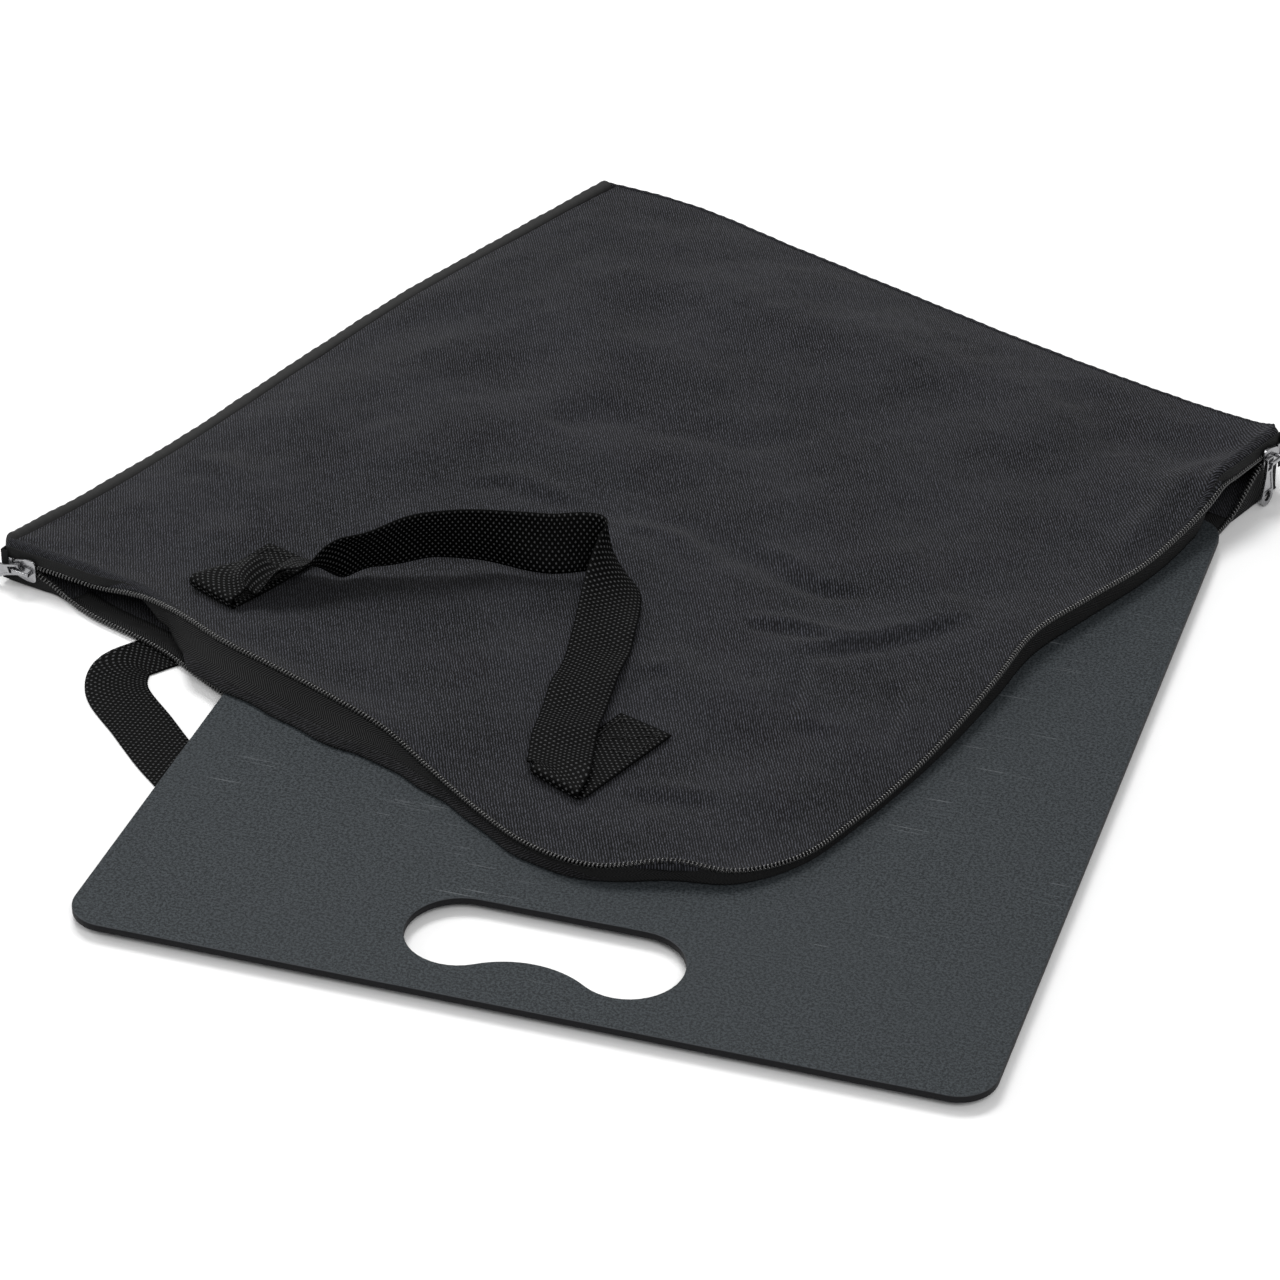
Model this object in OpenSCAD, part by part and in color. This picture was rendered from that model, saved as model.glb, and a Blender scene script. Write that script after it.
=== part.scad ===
// Flat carrying board half drawn out of its zipped cloth bag.
// +Z is up, X runs along the board's front edge, Y from that edge towards the bag's back.
// The origin is at the middle of the bag's underside, on the surface that it lies on.

/* [Board] */
// Width of the board, along its front edge
board_w = 350; // [320:1:360]
// Depth of the board, front edge to back edge
board_d = 408; // [390:1:412]
// Thickness of the board
board_t = 3; // [2:0.5:3]
// Corner radius of the board
board_r = 15; // [8:1:20]
// Height of the board's underside above the ground
board_z = 3.4; // [3.4:0.1:4]

/* [Hand slot] */
// Length of the hand slot, lobe end to lobe end
slot_l = 106; // [90:1:115]
// Width of the hand slot across its lobes
slot_w = 41; // [36:1:44]
// Distance from the board's front edge to the nearest point of the slot
slot_y = 17; // [15:1:25]
// How far the finger hump stands into the slot
hump_h = 10; // [6:1:12]

/* [Bag] */
// How far the bag is turned clockwise from the board
bag_turn = 20.3; // [18:0.1:22]
// Thickness of the cloth
cloth_t = 1; // [0.8:0.1:1]
// Height of the top panel where it lies over the board
panel_z = 13; // [12:0.5:15]
// Thickness of the bottom panel, with its turned-in edges
base_t = 2; // [2:0.1:2.2]

/* [Zip] */
// Radius of the coil of teeth on the upper half
coil_r = 0.95; // [0.8:0.05:0.95]
// Radius of the coil on the lower half
low_coil_r = 0.9; // [0.8:0.05:0.9]
// Thickness of the zip tapes
tape_t = 0.6; // [0.4:0.1:0.6]
// Length of a slider's body
slider_l = 11; // [10:0.5:11]
// Length of a pull tab, end to end
pull_l = 23; // [20:1:23]
// Width of a pull tab at its round end
pull_w = 9; // [8:0.5:9]
// Diameter of the hole in the pull tab
pull_hole = 5; // [3:0.5:5]

/* [Handles] */
// Width of the handle webbing
web_w = 25; // [20:1:25]
// Thickness of the handle webbing
web_t = 1.2; // [1:0.1:1.2]

/* [Hidden] */

cloth_colour = [0.13, 0.13, 0.15];
web_colour = [0.09, 0.09, 0.09];
metal_colour = [0.8, 0.8, 0.82];

// Board's front left corner in the object's frame
board_at = [-109, -346];

// Line of the upper coil, from the bag's left corner round the front corner to its right
// corner, as [x, y, z] in the bag's own frame. Both ends are straight, for the sliders.
upper_lip = [
    [-172, -201.7, 11.1], [-160, -200, 11.1], [-148, -198.3, 11.1], [-136, -196.6, 11.1],
    [-124, -194.9, 11.1], [-100, -194, 15.5], [-75, -198, 19], [-48, -203, 20],
    [-18, -204.5, 20], [12, -206, 19.5], [40, -207, 17], [68, -213, 13.5], [98, -221, 12],
    [128, -227, 12], [157, -223.5, 13], [180, -206, 15.5], [200, -193, 12.5],
    [212, -168, 10.5], [214, -135, 10.5], [213, -100, 11], [210, -65, 13], [205, -30, 15.5],
    [199, 5, 17], [201, 40, 16], [204, 75, 15], [204, 104, 16.5], [203, 128, 19.5],
    [202, 142, 22.6], [202, 152, 22.6], [202, 164, 22.6], [202, 176, 22.6], [202, 188, 22.6]
];
// Place in upper_lip of the front corner
lip_corner = 15;

// Line of the lower coil, which leaves each slider downwards and runs under the board
lower_lip = [
    [-172, -201.7, 8.9], [-160, -200, 8.9], [-153, -199, 7.2], [-146, -198.2, 4.6],
    [-137, -199.5, 2.6], [-120, -202, 2.2], [-83, -203, 2.2], [-40, -211, 2.2],
    [0, -213, 2.2], [40, -215, 2.2], [85, -224, 2.2], [130, -230, 2.2], [165, -226, 2.2],
    [193, -208, 2.2], [211, -180, 2.2], [216, -140, 2.2], [216, -90, 2.2], [212, -35, 2.2],
    [207, 20, 2.2], [206, 75, 2.2], [205, 120, 2.2], [202.5, 143, 2.2], [202, 150, 3.6],
    [202, 157, 8], [202, 165, 14.5], [202, 171, 18.6], [202, 176, 20.4], [202, 188, 20.4]
];

// Seam between the panels, up the left side and along the back
left_seam = [
    [-180, -170, 11], [-183, -135, 7.5], [-187, -75, 5], [-194, 0, 4], [-199, 78, 4],
    [-199, 150, 4]
];
back_corner = [-197, 228, 5];
back_line = [
    [-150, 235, 4.5], [-85, 231, 4], [-24, 227, 4], [35, 223, 4], [92, 218, 6],
    [145, 209, 12], [180, 199, 20]
];

// Rough width and depth of the bag
bag_w = 400;
bag_d = 430;
// Share of the panel's width over which its edges' heights fade out
edge_share = 0.2;
// Height of the panel's edge above the coil at the sliders, and its distance inside the coil
// there and between them
nose_rise = 6.6;
nose_inset = 0.3;
lip_inset = 1.5;
// Last places in the two lip lines
upper_end = len(upper_lip) - 1;
lower_end = len(lower_lip) - 1;
// How far from the ends of the lip lines the coils stop, counted in their points
coil_margin = 0.2;

// Places in lower_lip where the climbing ends start, and where their tapes start and stop
lead_ends = [3.9, 22.1];
left_lead_tape = [0.2, 3.3];
right_lead_tape = [22.4, 26.8];
// Places between which the lower tape lies flat, and its underside's height
flat_tape_ends = [4.4, 21.6];
flat_tape_z = 1.3;
// Distance of the bottom panel's edge inside the lower coil under the board, and at the sliders
base_gap = 8;
base_gap_at_sliders = 0.4;

// Side seam and back fold: distances of their outer and inner faces outside the panel's edge,
// their feet above the ground and their heights above the panel's middle
seam_out = 3.4;
seam_in = 0.4;
seam_rise = 0.6;
back_out = 1.7;
back_in = 0.1;
back_rise = 0.4;
seam_foot_z = 0.1;
// Stitching, in width and height
thread_w = 0.8;
thread_h = 0.35;

// How far the upper tape hangs below its coil, and how far its foot stands out along the front
tape_hang = 13;
tape_lean = 9;

// Centre line of the top handle's loop, as [x, y, z, tilt of the webbing from flat]
top_loop = [
    [-77.5, -175.5, 21.2, 0], [-74, -165.5, 21.4, 3], [-66.5, -155.5, 21.8, 12],
    [-55, -142.5, 24.5, 40], [-41, -129, 27.5, 68], [-31, -112, 30, 84], [-18, -98, 31, 88],
    [0, -86, 30, 90], [16, -76, 28.5, 90], [26, -65, 28, 90], [35, -61, 27.5, 78],
    [43, -67, 24, 48], [52, -81, 18.5, 16], [69, -110, 16.8, 0], [84, -141, 16.8, 0],
    [99, -169, 17.2, 0], [114.5, -192, 18, 0]
];

// Centre line of the bottom handle's loop, flat on the ground
bottom_loop = [
    [-80, -187.4, 0.6, 0], [-80, -194, 0.6, 0], [-85, -208, 0.6, 0], [-87, -221, 0.6, 0],
    [-76, -235, 0.6, 0], [-52, -246, 0.6, 0], [-22, -259, 0.6, 0], [15, -270, 0.6, 0],
    [52, -274, 0.6, 0], [86, -264, 0.6, 0], [108, -242, 0.6, 0], [116, -215, 0.6, 0],
    [117, -196, 0.6, 0], [117, -187.4, 0.6, 0]
];

// Where the top handle's ends are sewn, left and right: their middles, fronts and backs
top_end_x = [-77.5, 115.5];
top_end_near_y = [-175, -191.5];
top_end_far_y = [-130, -139];
// Direction of the line that the top handle folds and swings about
fold_line = [0.9962, -0.0856, -0.0166];
// The bottom handle's ends
handle_x = [-80, 117];
end_near_y = -186.7;
end_far_y = -136;
// Clearance of their undersides above the middle of the cloth
end_lift = 0.75;

// Sliders: where they stand, which way the zip closes and how high they are
left_slider_at = [-160, -200, 10];
left_slider_yaw = 8.06;
right_slider_at = [202, 176, 21.5];
right_slider_yaw = -90;
// How far the left pull tab points down from level, as far as the ground lets it
pull_droop = 17;

// Slider body, in its own frame: X to the zip's open side, Y out of the bag, Z across
plate_y = 1.5;
plate_t = 1;
slider_half_w = 5;
bridge_leg_x = 3.6;
bridge_y = 5.6;
bridge_bar_t = 1;
bridge_w = 1.6;
pull_y = 3.8;
pull_t = 1.3;
eye_near = 1.3;
eye_far = 3.6;
eye_half_w = 1.5;
eye_bar = 1;
fine = 48;

// ---------- curves and sheets ----------

// Point at x along a smooth curve through the points p, x counted in points
function along(p, x) =
    let(i = min(floor(x), len(p) - 2), f = x - i,
        a = p[max(i - 1, 0)], b = p[i], c = p[i + 1], d = p[min(i + 2, len(p) - 1)])
    0.5 * (2 * b + (c - a) * f + (2 * a - 5 * b + 4 * c - d) * f * f
        + (3 * b - a - 3 * c + d) * f * f * f);

function clamp01(x) = max(0, min(1, x));
function unit(v) = v / norm(v);
function flat_side(a, b) = unit([b.y - a.y, a.x - b.x, 0]);

// n steps along the curve p from x0 to x1, each as [point, direction to its right]
function stations(p, x0, x1, n) = [
    for (k = [0 : n])
        let(x = x0 + (x1 - x0) * k / n, e = 0.02,
            a = along(p, max(0, x - e)), b = along(p, min(len(p) - 1, x + e)))
        [along(p, x), flat_side(a, b), unit([b.x - a.x, b.y - a.y, b.z - a.z])]
];

// Solid through a list of rings of points, with flat ends
module through(rings) {
    n = len(rings[0]);
    m = len(rings);
    sides = [for (i = [0 : m - 2], j = [0 : n - 1])
        let(a = i * n + j, b = i * n + (j + 1) % n) each [[a, b, b + n], [a, b + n, a + n]]];
    first = [for (j = [1 : n - 2]) [0, j + 1, j]];
    last = [for (j = [1 : n - 2]) [(m - 1) * n, (m - 1) * n + j, (m - 1) * n + j + 1]];
    polyhedron([for (r = rings) each r], concat(sides, first, last));
}

// Round rod along stations
module rod(st, r, sides = 8) {
    through([for (s = st)
        let(up = cross(s[1], s[2]))
        [for (k = [0 : sides - 1])
            s[0] + r * (cos(360 * k / sides) * s[1] - sin(360 * k / sides) * up)]]);
}

// Strip along stations, between the sideways distances in a and b and the heights in lo and
// hi, its foot moved sideways by lean
module strip(st, a, b, lo, hi, lean = undef) {
    through([for (i = [0 : len(st) - 1])
        let(l = st[i][0] + a[i] * st[i][1], r = st[i][0] + b[i] * st[i][1],
            foot = (lean == undef ? 0 : lean[i]) * st[i][1])
        [[l.x + foot.x, l.y + foot.y, lo[i]], [l.x, l.y, hi[i]], [r.x, r.y, hi[i]],
         [r.x + foot.x, r.y + foot.y, lo[i]]]]);
}

// Handle webbing along a route of [x, y, z, tilt]. Where folds is 1 its ends are turned to lie
// along the line that it folds about.
module webbing(route, n, w, t, folds = 0) {
    turn_n = 6;
    through([for (k = [0 : n])
        let(x = (len(route) - 1) * k / n, e = 0.05,
            q = along(route, x),
            a = along(route, max(0, x - e)), b = along(route, min(len(route) - 1, x + e)),
            dir = unit([b.x - a.x, b.y - a.y, b.z - a.z]),
            tilted = cos(q[3]) * flat_side(a, b) + sin(q[3]) * [0, 0, 1],
            first = folds * clamp01(1 - k / turn_n), last = folds * clamp01(1 - (n - k) / turn_n),
            free = 1 - first - last,
            turned = tilted * free + fold_line * (first - last),
            across = unit(turned - dir * (dir * turned) * free),
            face = unit(cross(across, dir)), c = [q.x, q.y, q.z])
        [c - across * w / 2 - face * t / 2, c - across * w / 2 + face * t / 2,
         c + across * w / 2 + face * t / 2, c + across * w / 2 - face * t / 2]]);
}

// ---------- the top panel's surface ----------

// 1 near the sliders, where the coil hangs below the panel's edge, and 0 between them
function near_slider(x) = max(clamp01((6 - x) / 2), clamp01((x - 25.5) / 2));

// Edge of the top panel beside the upper coil
function lip_edge(x) =
    let(p = along(upper_lip, x),
        a = along(upper_lip, max(0, x - 0.02)), b = along(upper_lip, min(upper_end, x + 0.02)),
        s = flat_side(a, b), q = near_slider(x), d = lip_inset + (nose_inset - lip_inset) * q)
    [p.x - d * s.x, p.y - d * s.y, p.z + nose_rise * q];

corner_a = lip_edge(0);
corner_c = lip_edge(upper_end);
left_edge = concat([corner_a], left_seam, [back_corner]);
back_edge = concat([back_corner], back_line, [corner_c]);

function front_at(s) = lip_edge(s * lip_corner);
function right_at(t) = lip_edge(lip_corner + t * (upper_end - lip_corner));
function left_at(t) = along(left_edge, t * (len(left_edge) - 1));
function back_at(s) = along(back_edge, s * (len(back_edge) - 1));

// How much an edge's height still counts at a share x of the panel's width away from it
function fade(x) = pow(clamp01(1 - x / edge_share), 2);

// Point of the top panel's middle surface, s from left to right and t from front to back
function panel(s, t) =
    let(l = left_at(t), r = right_at(t), f = front_at(s), k = back_at(s),
        fa = corner_a, fr = right_at(0), ba = back_corner, bc = corner_c,
        plan = (1 - s) * l + s * r + (1 - t) * f + t * k
            - (1 - s) * (1 - t) * fa - s * (1 - t) * fr - (1 - s) * t * ba - s * t * bc,
        a = fade(s), b = fade(1 - s), c = fade(t), d = fade(1 - t), o = panel_z,
        z = o + (l.z - o) * a + (r.z - o) * b + (f.z - o) * c + (k.z - o) * d
            - (fa.z - o) * a * c - (fr.z - o) * b * c
            - (ba.z - o) * a * d - (bc.z - o) * b * d)
    [plan.x, plan.y, z];

// Height of the panel's middle surface over a place in the bag, found by closing in on it
function panel_height(x, y, s, t, tries) =
    let(p = panel(s, t))
    tries == 0 ? p.z
        : panel_height(x, y, s + (x - p.x) / bag_w, t + (y - p.y) / bag_d, tries - 1);

// Places of a rectangle that lies on the panel, from its left front corner
function patch(x0, x1, y0, y1, nx, ny) = [
    for (i = [0 : nx], j = [0 : ny])
        let(x = x0 + (x1 - x0) * i / nx, y = y0 + (y1 - y0) * j / ny, tries = 12)
        [x, y, panel_height(x, y, x / bag_w + 0.5, y / bag_d + 0.5, tries)]
];

// Slab between two heights above a grid of points, ns by nt steps
module slab(grid, ns, nt, lo, hi) {
    w = nt + 1;
    half = len(grid);
    points = concat([for (p = grid) p + [0, 0, lo]], [for (p = grid) p + [0, 0, hi]]);
    tops = [for (i = [0 : ns - 1], j = [0 : nt - 1]) let(a = half + i * w + j)
        each [[a, a + 1, a + w + 1], [a, a + w + 1, a + w]]];
    bottoms = [for (i = [0 : ns - 1], j = [0 : nt - 1]) let(a = i * w + j)
        each [[a, a + w + 1, a + 1], [a, a + w, a + w + 1]]];
    rim = concat([for (i = [0 : ns]) i * w], [for (j = [1 : nt]) ns * w + j],
        [for (i = [ns - 1 : -1 : 0]) i * w + nt], [for (j = [nt - 1 : -1 : 1]) j]);
    walls = [for (k = [0 : len(rim) - 1]) let(a = rim[k], b = rim[(k + 1) % len(rim)])
        each [[a, a + half, b + half], [a, b + half, b]]];
    polyhedron(points, concat(tops, bottoms, walls));
}

module in_bag() {
    rotate([0, 0, -bag_turn]) children();
}

// ---------- board ----------

module rounded_plate(w, d, h, r) {
    translate([r, 0, 0]) cube([w - 2 * r, d, h]);
    translate([0, r, 0]) cube([w, d - 2 * r, h]);
    for (x = [r, w - r], y = [r, d - r])
        translate([x, y, 0]) cylinder(r = r, h = h, $fn = fine);
}

// Hand slot: two round lobes with a convex hump between them, tangent to both
module slot_cut(h) {
    lobe_r = slot_w / 2;
    reach = slot_l / 2 - lobe_r;
    drop = lobe_r - hump_h;
    hump_r = (reach * reach + drop * drop - lobe_r * lobe_r) / (2 * (lobe_r - drop));
    dist = hump_r + lobe_r;
    touch = [reach * (1 - lobe_r / dist), -lobe_r * (hump_r + drop) / dist];
    difference() {
        union() {
            for (x = [-reach, reach])
                translate([x, 0, 0]) cylinder(r = lobe_r, h = h, $fn = fine);
            linear_extrude(h) polygon([[-touch.x, touch.y], [touch.x, touch.y], [reach, 0],
                [reach, lobe_r], [-reach, lobe_r], [-reach, 0]]);
        }
        translate([0, -drop - hump_r, -1]) cylinder(r = hump_r, h = h + 2, $fn = fine);
    }
}

module board() {
    color([0.27, 0.28, 0.29]) translate([board_at.x, board_at.y, board_z]) difference() {
        rounded_plate(board_w, board_d, board_t, board_r);
        translate([board_w / 2, slot_y + slot_w / 2, -1]) slot_cut(board_t + 2);
    }
}

// ---------- bag ----------

module bag_top_panel() {
    n = 30;
    grid = [for (i = [0 : n], j = [0 : n]) panel(i / n, j / n)];
    color(cloth_colour) in_bag() slab(grid, n, n, -cloth_t / 2, cloth_t / 2);
}

// The bottom panel stops short of the lower coil, except near the sliders
function base_inset(x) =
    let(near = max(clamp01((5.5 - x) / 1.5), clamp01((x - 20.5) / 1.5)))
    base_gap + (base_gap_at_sliders - base_gap) * near;

// Room under the bottom panel for a handle's sewn end and the webbing that leaves it
module handle_pocket(x) {
    past_front = 50;
    left_room = 5;
    right_room = 1.5;
    back_room = 1;
    roof_z = 1.3;
    translate([x - web_w / 2 - left_room, end_near_y - past_front, -1])
        cube([left_room + web_w + right_room,
            end_far_y + back_room - end_near_y + past_front, roof_z + 1]);
}

module bag_bottom_panel() {
    lip_n = 81;
    side_n = 15;
    back_share = 0.985;
    back_inset = 0.5;
    left_inset = 0.4;
    lip = stations(lower_lip, 0, lower_end, lip_n);
    outline = concat(
        [for (k = [0 : lip_n]) let(d = base_inset(lower_end * k / lip_n))
            [lip[k][0].x - d * lip[k][1].x, lip[k][0].y - d * lip[k][1].y]],
        [for (k = [side_n : -1 : 0]) let(p = back_at(k / side_n * back_share))
            [p.x, p.y - back_inset]],
        [for (k = [side_n - 1 : -1 : 1]) let(p = left_at(k / side_n)) [p.x + left_inset, p.y]]);
    color(cloth_colour) in_bag() difference() {
        linear_extrude(base_t) polygon(outline);
        for (x = handle_x) handle_pocket(x);
    }
}

// Folded cloth edge that closes the bag's left side, tall at the front corner
module left_seam_binding() {
    st = stations(left_edge, 0.12, len(left_edge) - 1.02, 30);
    color(cloth_colour * 1.3) in_bag()
        strip(st, [for (s = st) -seam_out], [for (s = st) -seam_in],
            [for (s = st) seam_foot_z], [for (s = st) s[0].z + seam_rise]);
}

// Fold that joins the panels along the back
module back_seam() {
    st = stations(back_edge, 0.05, len(back_edge) - 1.25, 30);
    color(cloth_colour) in_bag()
        strip(st, [for (s = st) -back_out], [for (s = st) -back_in],
            [for (s = st) seam_foot_z], [for (s = st) s[0].z + back_rise]);
}

// ---------- zip ----------

module upper_zip_coil() {
    color(web_colour) in_bag()
        rod(stations(upper_lip, coil_margin, upper_end - coil_margin, 110), coil_r);
}

module lower_zip_coil() {
    coil_gap = 0.05;
    color(web_colour) in_bag()
        rod(stations(lower_lip, lead_ends[0] + coil_gap, lead_ends[1] - coil_gap, 90), low_coil_r);
}

// The tape rises from the coil to the panel near the sliders and hangs from it between.
// Where it changes over, it passes the coil on the inside.
module upper_zip_tape() {
    n = 100;
    x0 = coil_margin;
    x1 = upper_end - coil_margin;
    coil_gap = 0.4;
    panel_gap = 0.1;
    clear_z = board_z + board_t + 0.6;
    st = stations(upper_lip, x0, x1, n);
    near = [for (k = [0 : n]) near_slider(x0 + (x1 - x0) * k / n)];
    over = [for (q = near) clamp01(2 - 3 * q)];
    mid = [for (q = near) -(coil_r + coil_gap) * clamp01(4 * min(q, 1 - q))];
    lo = [for (k = [0 : n]) let(z = st[k][0].z)
        (1 - over[k]) * (z + coil_r) + over[k] * max(clear_z, z - tape_hang)];
    hi = [for (k = [0 : n]) let(z = st[k][0].z)
        (1 - over[k]) * (z + nose_rise * near[k] - cloth_t / 2 - panel_gap) + over[k] * (z - coil_r)];
    lean = [for (k = [0 : n]) let(x = x0 + (x1 - x0) * k / n)
        tape_lean * clamp01((x - 5.6) / 1.2) * clamp01((11.5 - x) / 2)];
    color(web_colour) in_bag() strip(st, [for (m = mid) m - tape_t / 2],
        [for (m = mid) m + tape_t / 2], lo, hi, lean);
}

// The lower tape lies flat under the board
module lower_zip_tape() {
    n = 60;
    x0 = flat_tape_ends[0];
    x1 = flat_tape_ends[1];
    panel_gap = 0.9;
    st = stations(lower_lip, x0, x1, n);
    color(web_colour) in_bag()
        strip(st, [for (k = [0 : n]) panel_gap - base_inset(x0 + (x1 - x0) * k / n)],
            [for (s = st) -low_coil_r], [for (s = st) flat_tape_z],
            [for (s = st) flat_tape_z + tape_t]);
}

// End of the lower half, coil and tape, where it climbs from the ground into a slider
module zip_lead(coil, tape) {
    under_coil = 1.4 * low_coil_r;
    rod(stations(lower_lip, coil[0], coil[1], 16), low_coil_r);
    st = stations(lower_lip, tape[0], tape[1], 8);
    strip(st, [for (s = st) -tape_t / 2], [for (s = st) tape_t / 2],
        [for (s = st) base_t + 0.1], [for (s = st) s[0].z - under_coil]);
}

module left_zip_lead() {
    color(web_colour) in_bag() zip_lead([coil_margin, lead_ends[0]], left_lead_tape);
}

module right_zip_lead() {
    color(web_colour) in_bag() zip_lead([lead_ends[1], lower_end - coil_margin], right_lead_tape);
}

module at_left_slider() {
    in_bag() translate(left_slider_at) rotate([0, 0, left_slider_yaw]) mirror([0, 1, 0])
        children();
}

module at_right_slider() {
    in_bag() translate(right_slider_at) rotate([0, 0, right_slider_yaw]) children();
}

// Metal stop clamped over both coils behind a slider
module zip_stop() {
    near_x = -8.6;
    size = [1.6, 3.2, 6];
    wall = [0, 0.55, 0.8];
    hollow = size - 2 * wall;
    slit = tape_t + 0.2;
    difference() {
        translate([near_x, -size.y / 2, -size.z / 2]) cube(size);
        translate([near_x - 0.4, -hollow.y / 2, -hollow.z / 2])
            cube([hollow.x + 0.8, hollow.y, hollow.z]);
        translate([near_x - 0.4, -slit / 2, -size.z / 2 - 1])
            cube([size.x + 0.8, slit, size.z + 2]);
    }
}

// Folded scrap of cloth sewn over the end of the zip
module zip_tab(h_up, h_down) {
    far_x = -11.6;
    l = 2.7;
    w = 3.4;
    gap = 2.1;
    fold_t = 0.8;
    h = h_down + h_up;
    difference() {
        translate([far_x, -w / 2, -h_down]) cube([l, w, h]);
        translate([far_x - 0.4, -gap / 2, -h_down - 1]) cube([l + 0.7, gap, h + 2]);
    }
    translate([far_x - fold_t, -w / 2, -h_down]) cube([fold_t, w, h]);
}

module left_zip_stop() {
    color(metal_colour) at_left_slider() zip_stop();
}

module right_zip_stop() {
    color(metal_colour) at_right_slider() zip_stop();
}

module left_zip_tab() {
    color(cloth_colour) at_left_slider() zip_tab(6, 7.6);
}

module right_zip_tab() {
    color(cloth_colour) at_right_slider() zip_tab(5.6, 9);
}

// Shield outline of a slider's plate, in X and Z, raised along Y
module slider_plate(y) {
    half = slider_l / 2;
    translate([0, y + plate_t, 0]) rotate([90, 0, 0]) union() {
        linear_extrude(plate_t) polygon([[-half, -2.6], [-half, 2.6], [-half + 1.2, 3.7],
            [0.6, slider_half_w], [half - 1.6, slider_half_w], [half, 3], [half, -3],
            [half - 1.6, -slider_half_w], [0.6, -slider_half_w], [-half + 1.2, -3.7]]);
        for (z = [-1, 1]) translate([half - 1.9, z * (slider_half_w - 1.9), 0])
            cylinder(r = 1.9, h = plate_t, $fn = fine);
    }
}

// Turned-in lips along the plates' long edges, with the tape's slot between them
module slider_lips() {
    half = slider_l / 2;
    lip_t = 0.45;
    narrow = [5.6, lip_t, 0.8];
    wide = [half - 2.2, lip_t, 0.9];
    for (y = [-plate_y, plate_y - lip_t], z = [-1, 1]) {
        translate([-half + 1.2, y, z > 0 ? 2.9 : -3.7]) cube(narrow);
        translate([0.6, y, z > 0 ? slider_half_w - wide.z : -slider_half_w]) cube(wide);
    }
}

module slider_body() {
    slider_plate(plate_y);
    slider_plate(-plate_y - plate_t);
    slider_lips();
    post_r = 0.48;
    translate([3.8, 0, -0.45]) rotate([90, 0, 0])
        cylinder(r = post_r, h = 2 * plate_y + 0.2, center = true, $fn = fine / 2);
}

// Bridge that the pull tab is threaded on
module slider_bridge() {
    top = bridge_y + bridge_bar_t / 2;
    foot = plate_y + plate_t;
    leg_t = 1.2;
    for (x = [-bridge_leg_x, bridge_leg_x])
        translate([x - leg_t / 2, foot, -bridge_w / 2]) cube([leg_t, top - foot, bridge_w]);
    translate([-bridge_leg_x, bridge_y - bridge_bar_t / 2, -bridge_w / 2])
        cube([2 * bridge_leg_x, bridge_bar_t, bridge_w]);
}

// Tapered outline of the pull tab, inset by d, pivot at the origin and tip along +X
module tab_outline(d, h) {
    tip = pull_l - eye_near - eye_bar - pull_w / 2;
    neck = eye_half_w + 0.9;
    near = -eye_near - eye_bar;
    linear_extrude(h) polygon([[near + d, -neck + 0.5 + d], [near + d + 0.5, -neck + d],
        [eye_far + 2, -neck + d], [tip, -pull_w / 2 + d], [tip, pull_w / 2 - d],
        [eye_far + 2, neck - d], [near + d + 0.5, neck - d], [near + d, neck - 0.5 - d]]);
    translate([tip, 0, 0]) cylinder(r = pull_w / 2 - d, h = h, $fn = fine);
}

// Pull tab with a raised rim, an eye for the bridge and a round hole in its tip
module pull_tab() {
    tip = pull_l - eye_near - eye_bar - pull_w / 2;
    rim = 1;
    recess = 0.35;
    difference() {
        translate([0, 0, -pull_t / 2]) tab_outline(0, pull_t);
        for (z = [-1, 1]) translate([0, 0, z > 0 ? pull_t / 2 - recess : -pull_t / 2 - 1])
            intersection() {
                tab_outline(rim, recess + 1);
                translate([eye_far + 1, -10, -1]) cube([tip - eye_far - 1 - pull_hole / 2, 20, 4]);
            }
        translate([-eye_near, -eye_half_w, -2]) cube([eye_near + eye_far, 2 * eye_half_w, 4]);
        translate([tip, 0, -2]) cylinder(r = pull_hole / 2, h = 4, $fn = fine);
    }
}

module left_slider_body() {
    color(metal_colour) at_left_slider() slider_body();
}

module left_slider_bridge() {
    color(metal_colour) at_left_slider() slider_bridge();
}

// Pull tab threaded on one leg of a bridge, turned down from pointing along X
module hung_pull_tab(x, turn) {
    translate([x, pull_y, 0]) rotate([0, turn, 0]) rotate([90, 0, 0]) pull_tab();
}

// The left tab lies back past the bag's corner, its tip on the ground
module left_pull_tab() {
    color(metal_colour) at_left_slider() hung_pull_tab(-bridge_leg_x, 180 - pull_droop);
}

module right_slider_body() {
    color(metal_colour) at_right_slider() slider_body();
}

module right_slider_bridge() {
    color(metal_colour) at_right_slider() slider_bridge();
}

module right_pull_tab() {
    color(metal_colour) at_right_slider() hung_pull_tab(bridge_leg_x, 90);
}

// ---------- handles ----------

module sewn_end(i) {
    x = top_end_x[i];
    slab(patch(x - web_w / 2, x + web_w / 2, top_end_near_y[i], top_end_far_y[i], 4, 8), 4, 8,
        end_lift, end_lift + web_t);
}

// A square of stitches on a sewn end, lying across the panel like the end itself
module stitch_box(i) {
    margin = 2.5;
    half = web_w / 2 - margin;
    x = top_end_x[i];
    y1 = top_end_far_y[i] - margin;
    y0 = y1 - 2 * half;
    t = thread_w / 2;
    corner_gap = 0.1;
    inner = half - t - corner_gap;
    lo = end_lift + web_t + 0.15;
    for (q = [x - half, x + half])
        slab(patch(q - t, q + t, y0, y1, 1, 6), 1, 6, lo, lo + thread_h);
    for (y = [y0, y1])
        slab(patch(x - inner, x + inner, y - t, y + t, 4, 1), 4, 1, lo, lo + thread_h);
}

module top_handle_left_end() {
    color(web_colour) in_bag() sewn_end(0);
}

module top_handle_right_end() {
    color(web_colour) in_bag() sewn_end(1);
}

module top_handle_stitching() {
    color([0.05, 0.05, 0.05]) in_bag() for (i = [0, 1]) stitch_box(i);
}

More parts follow.
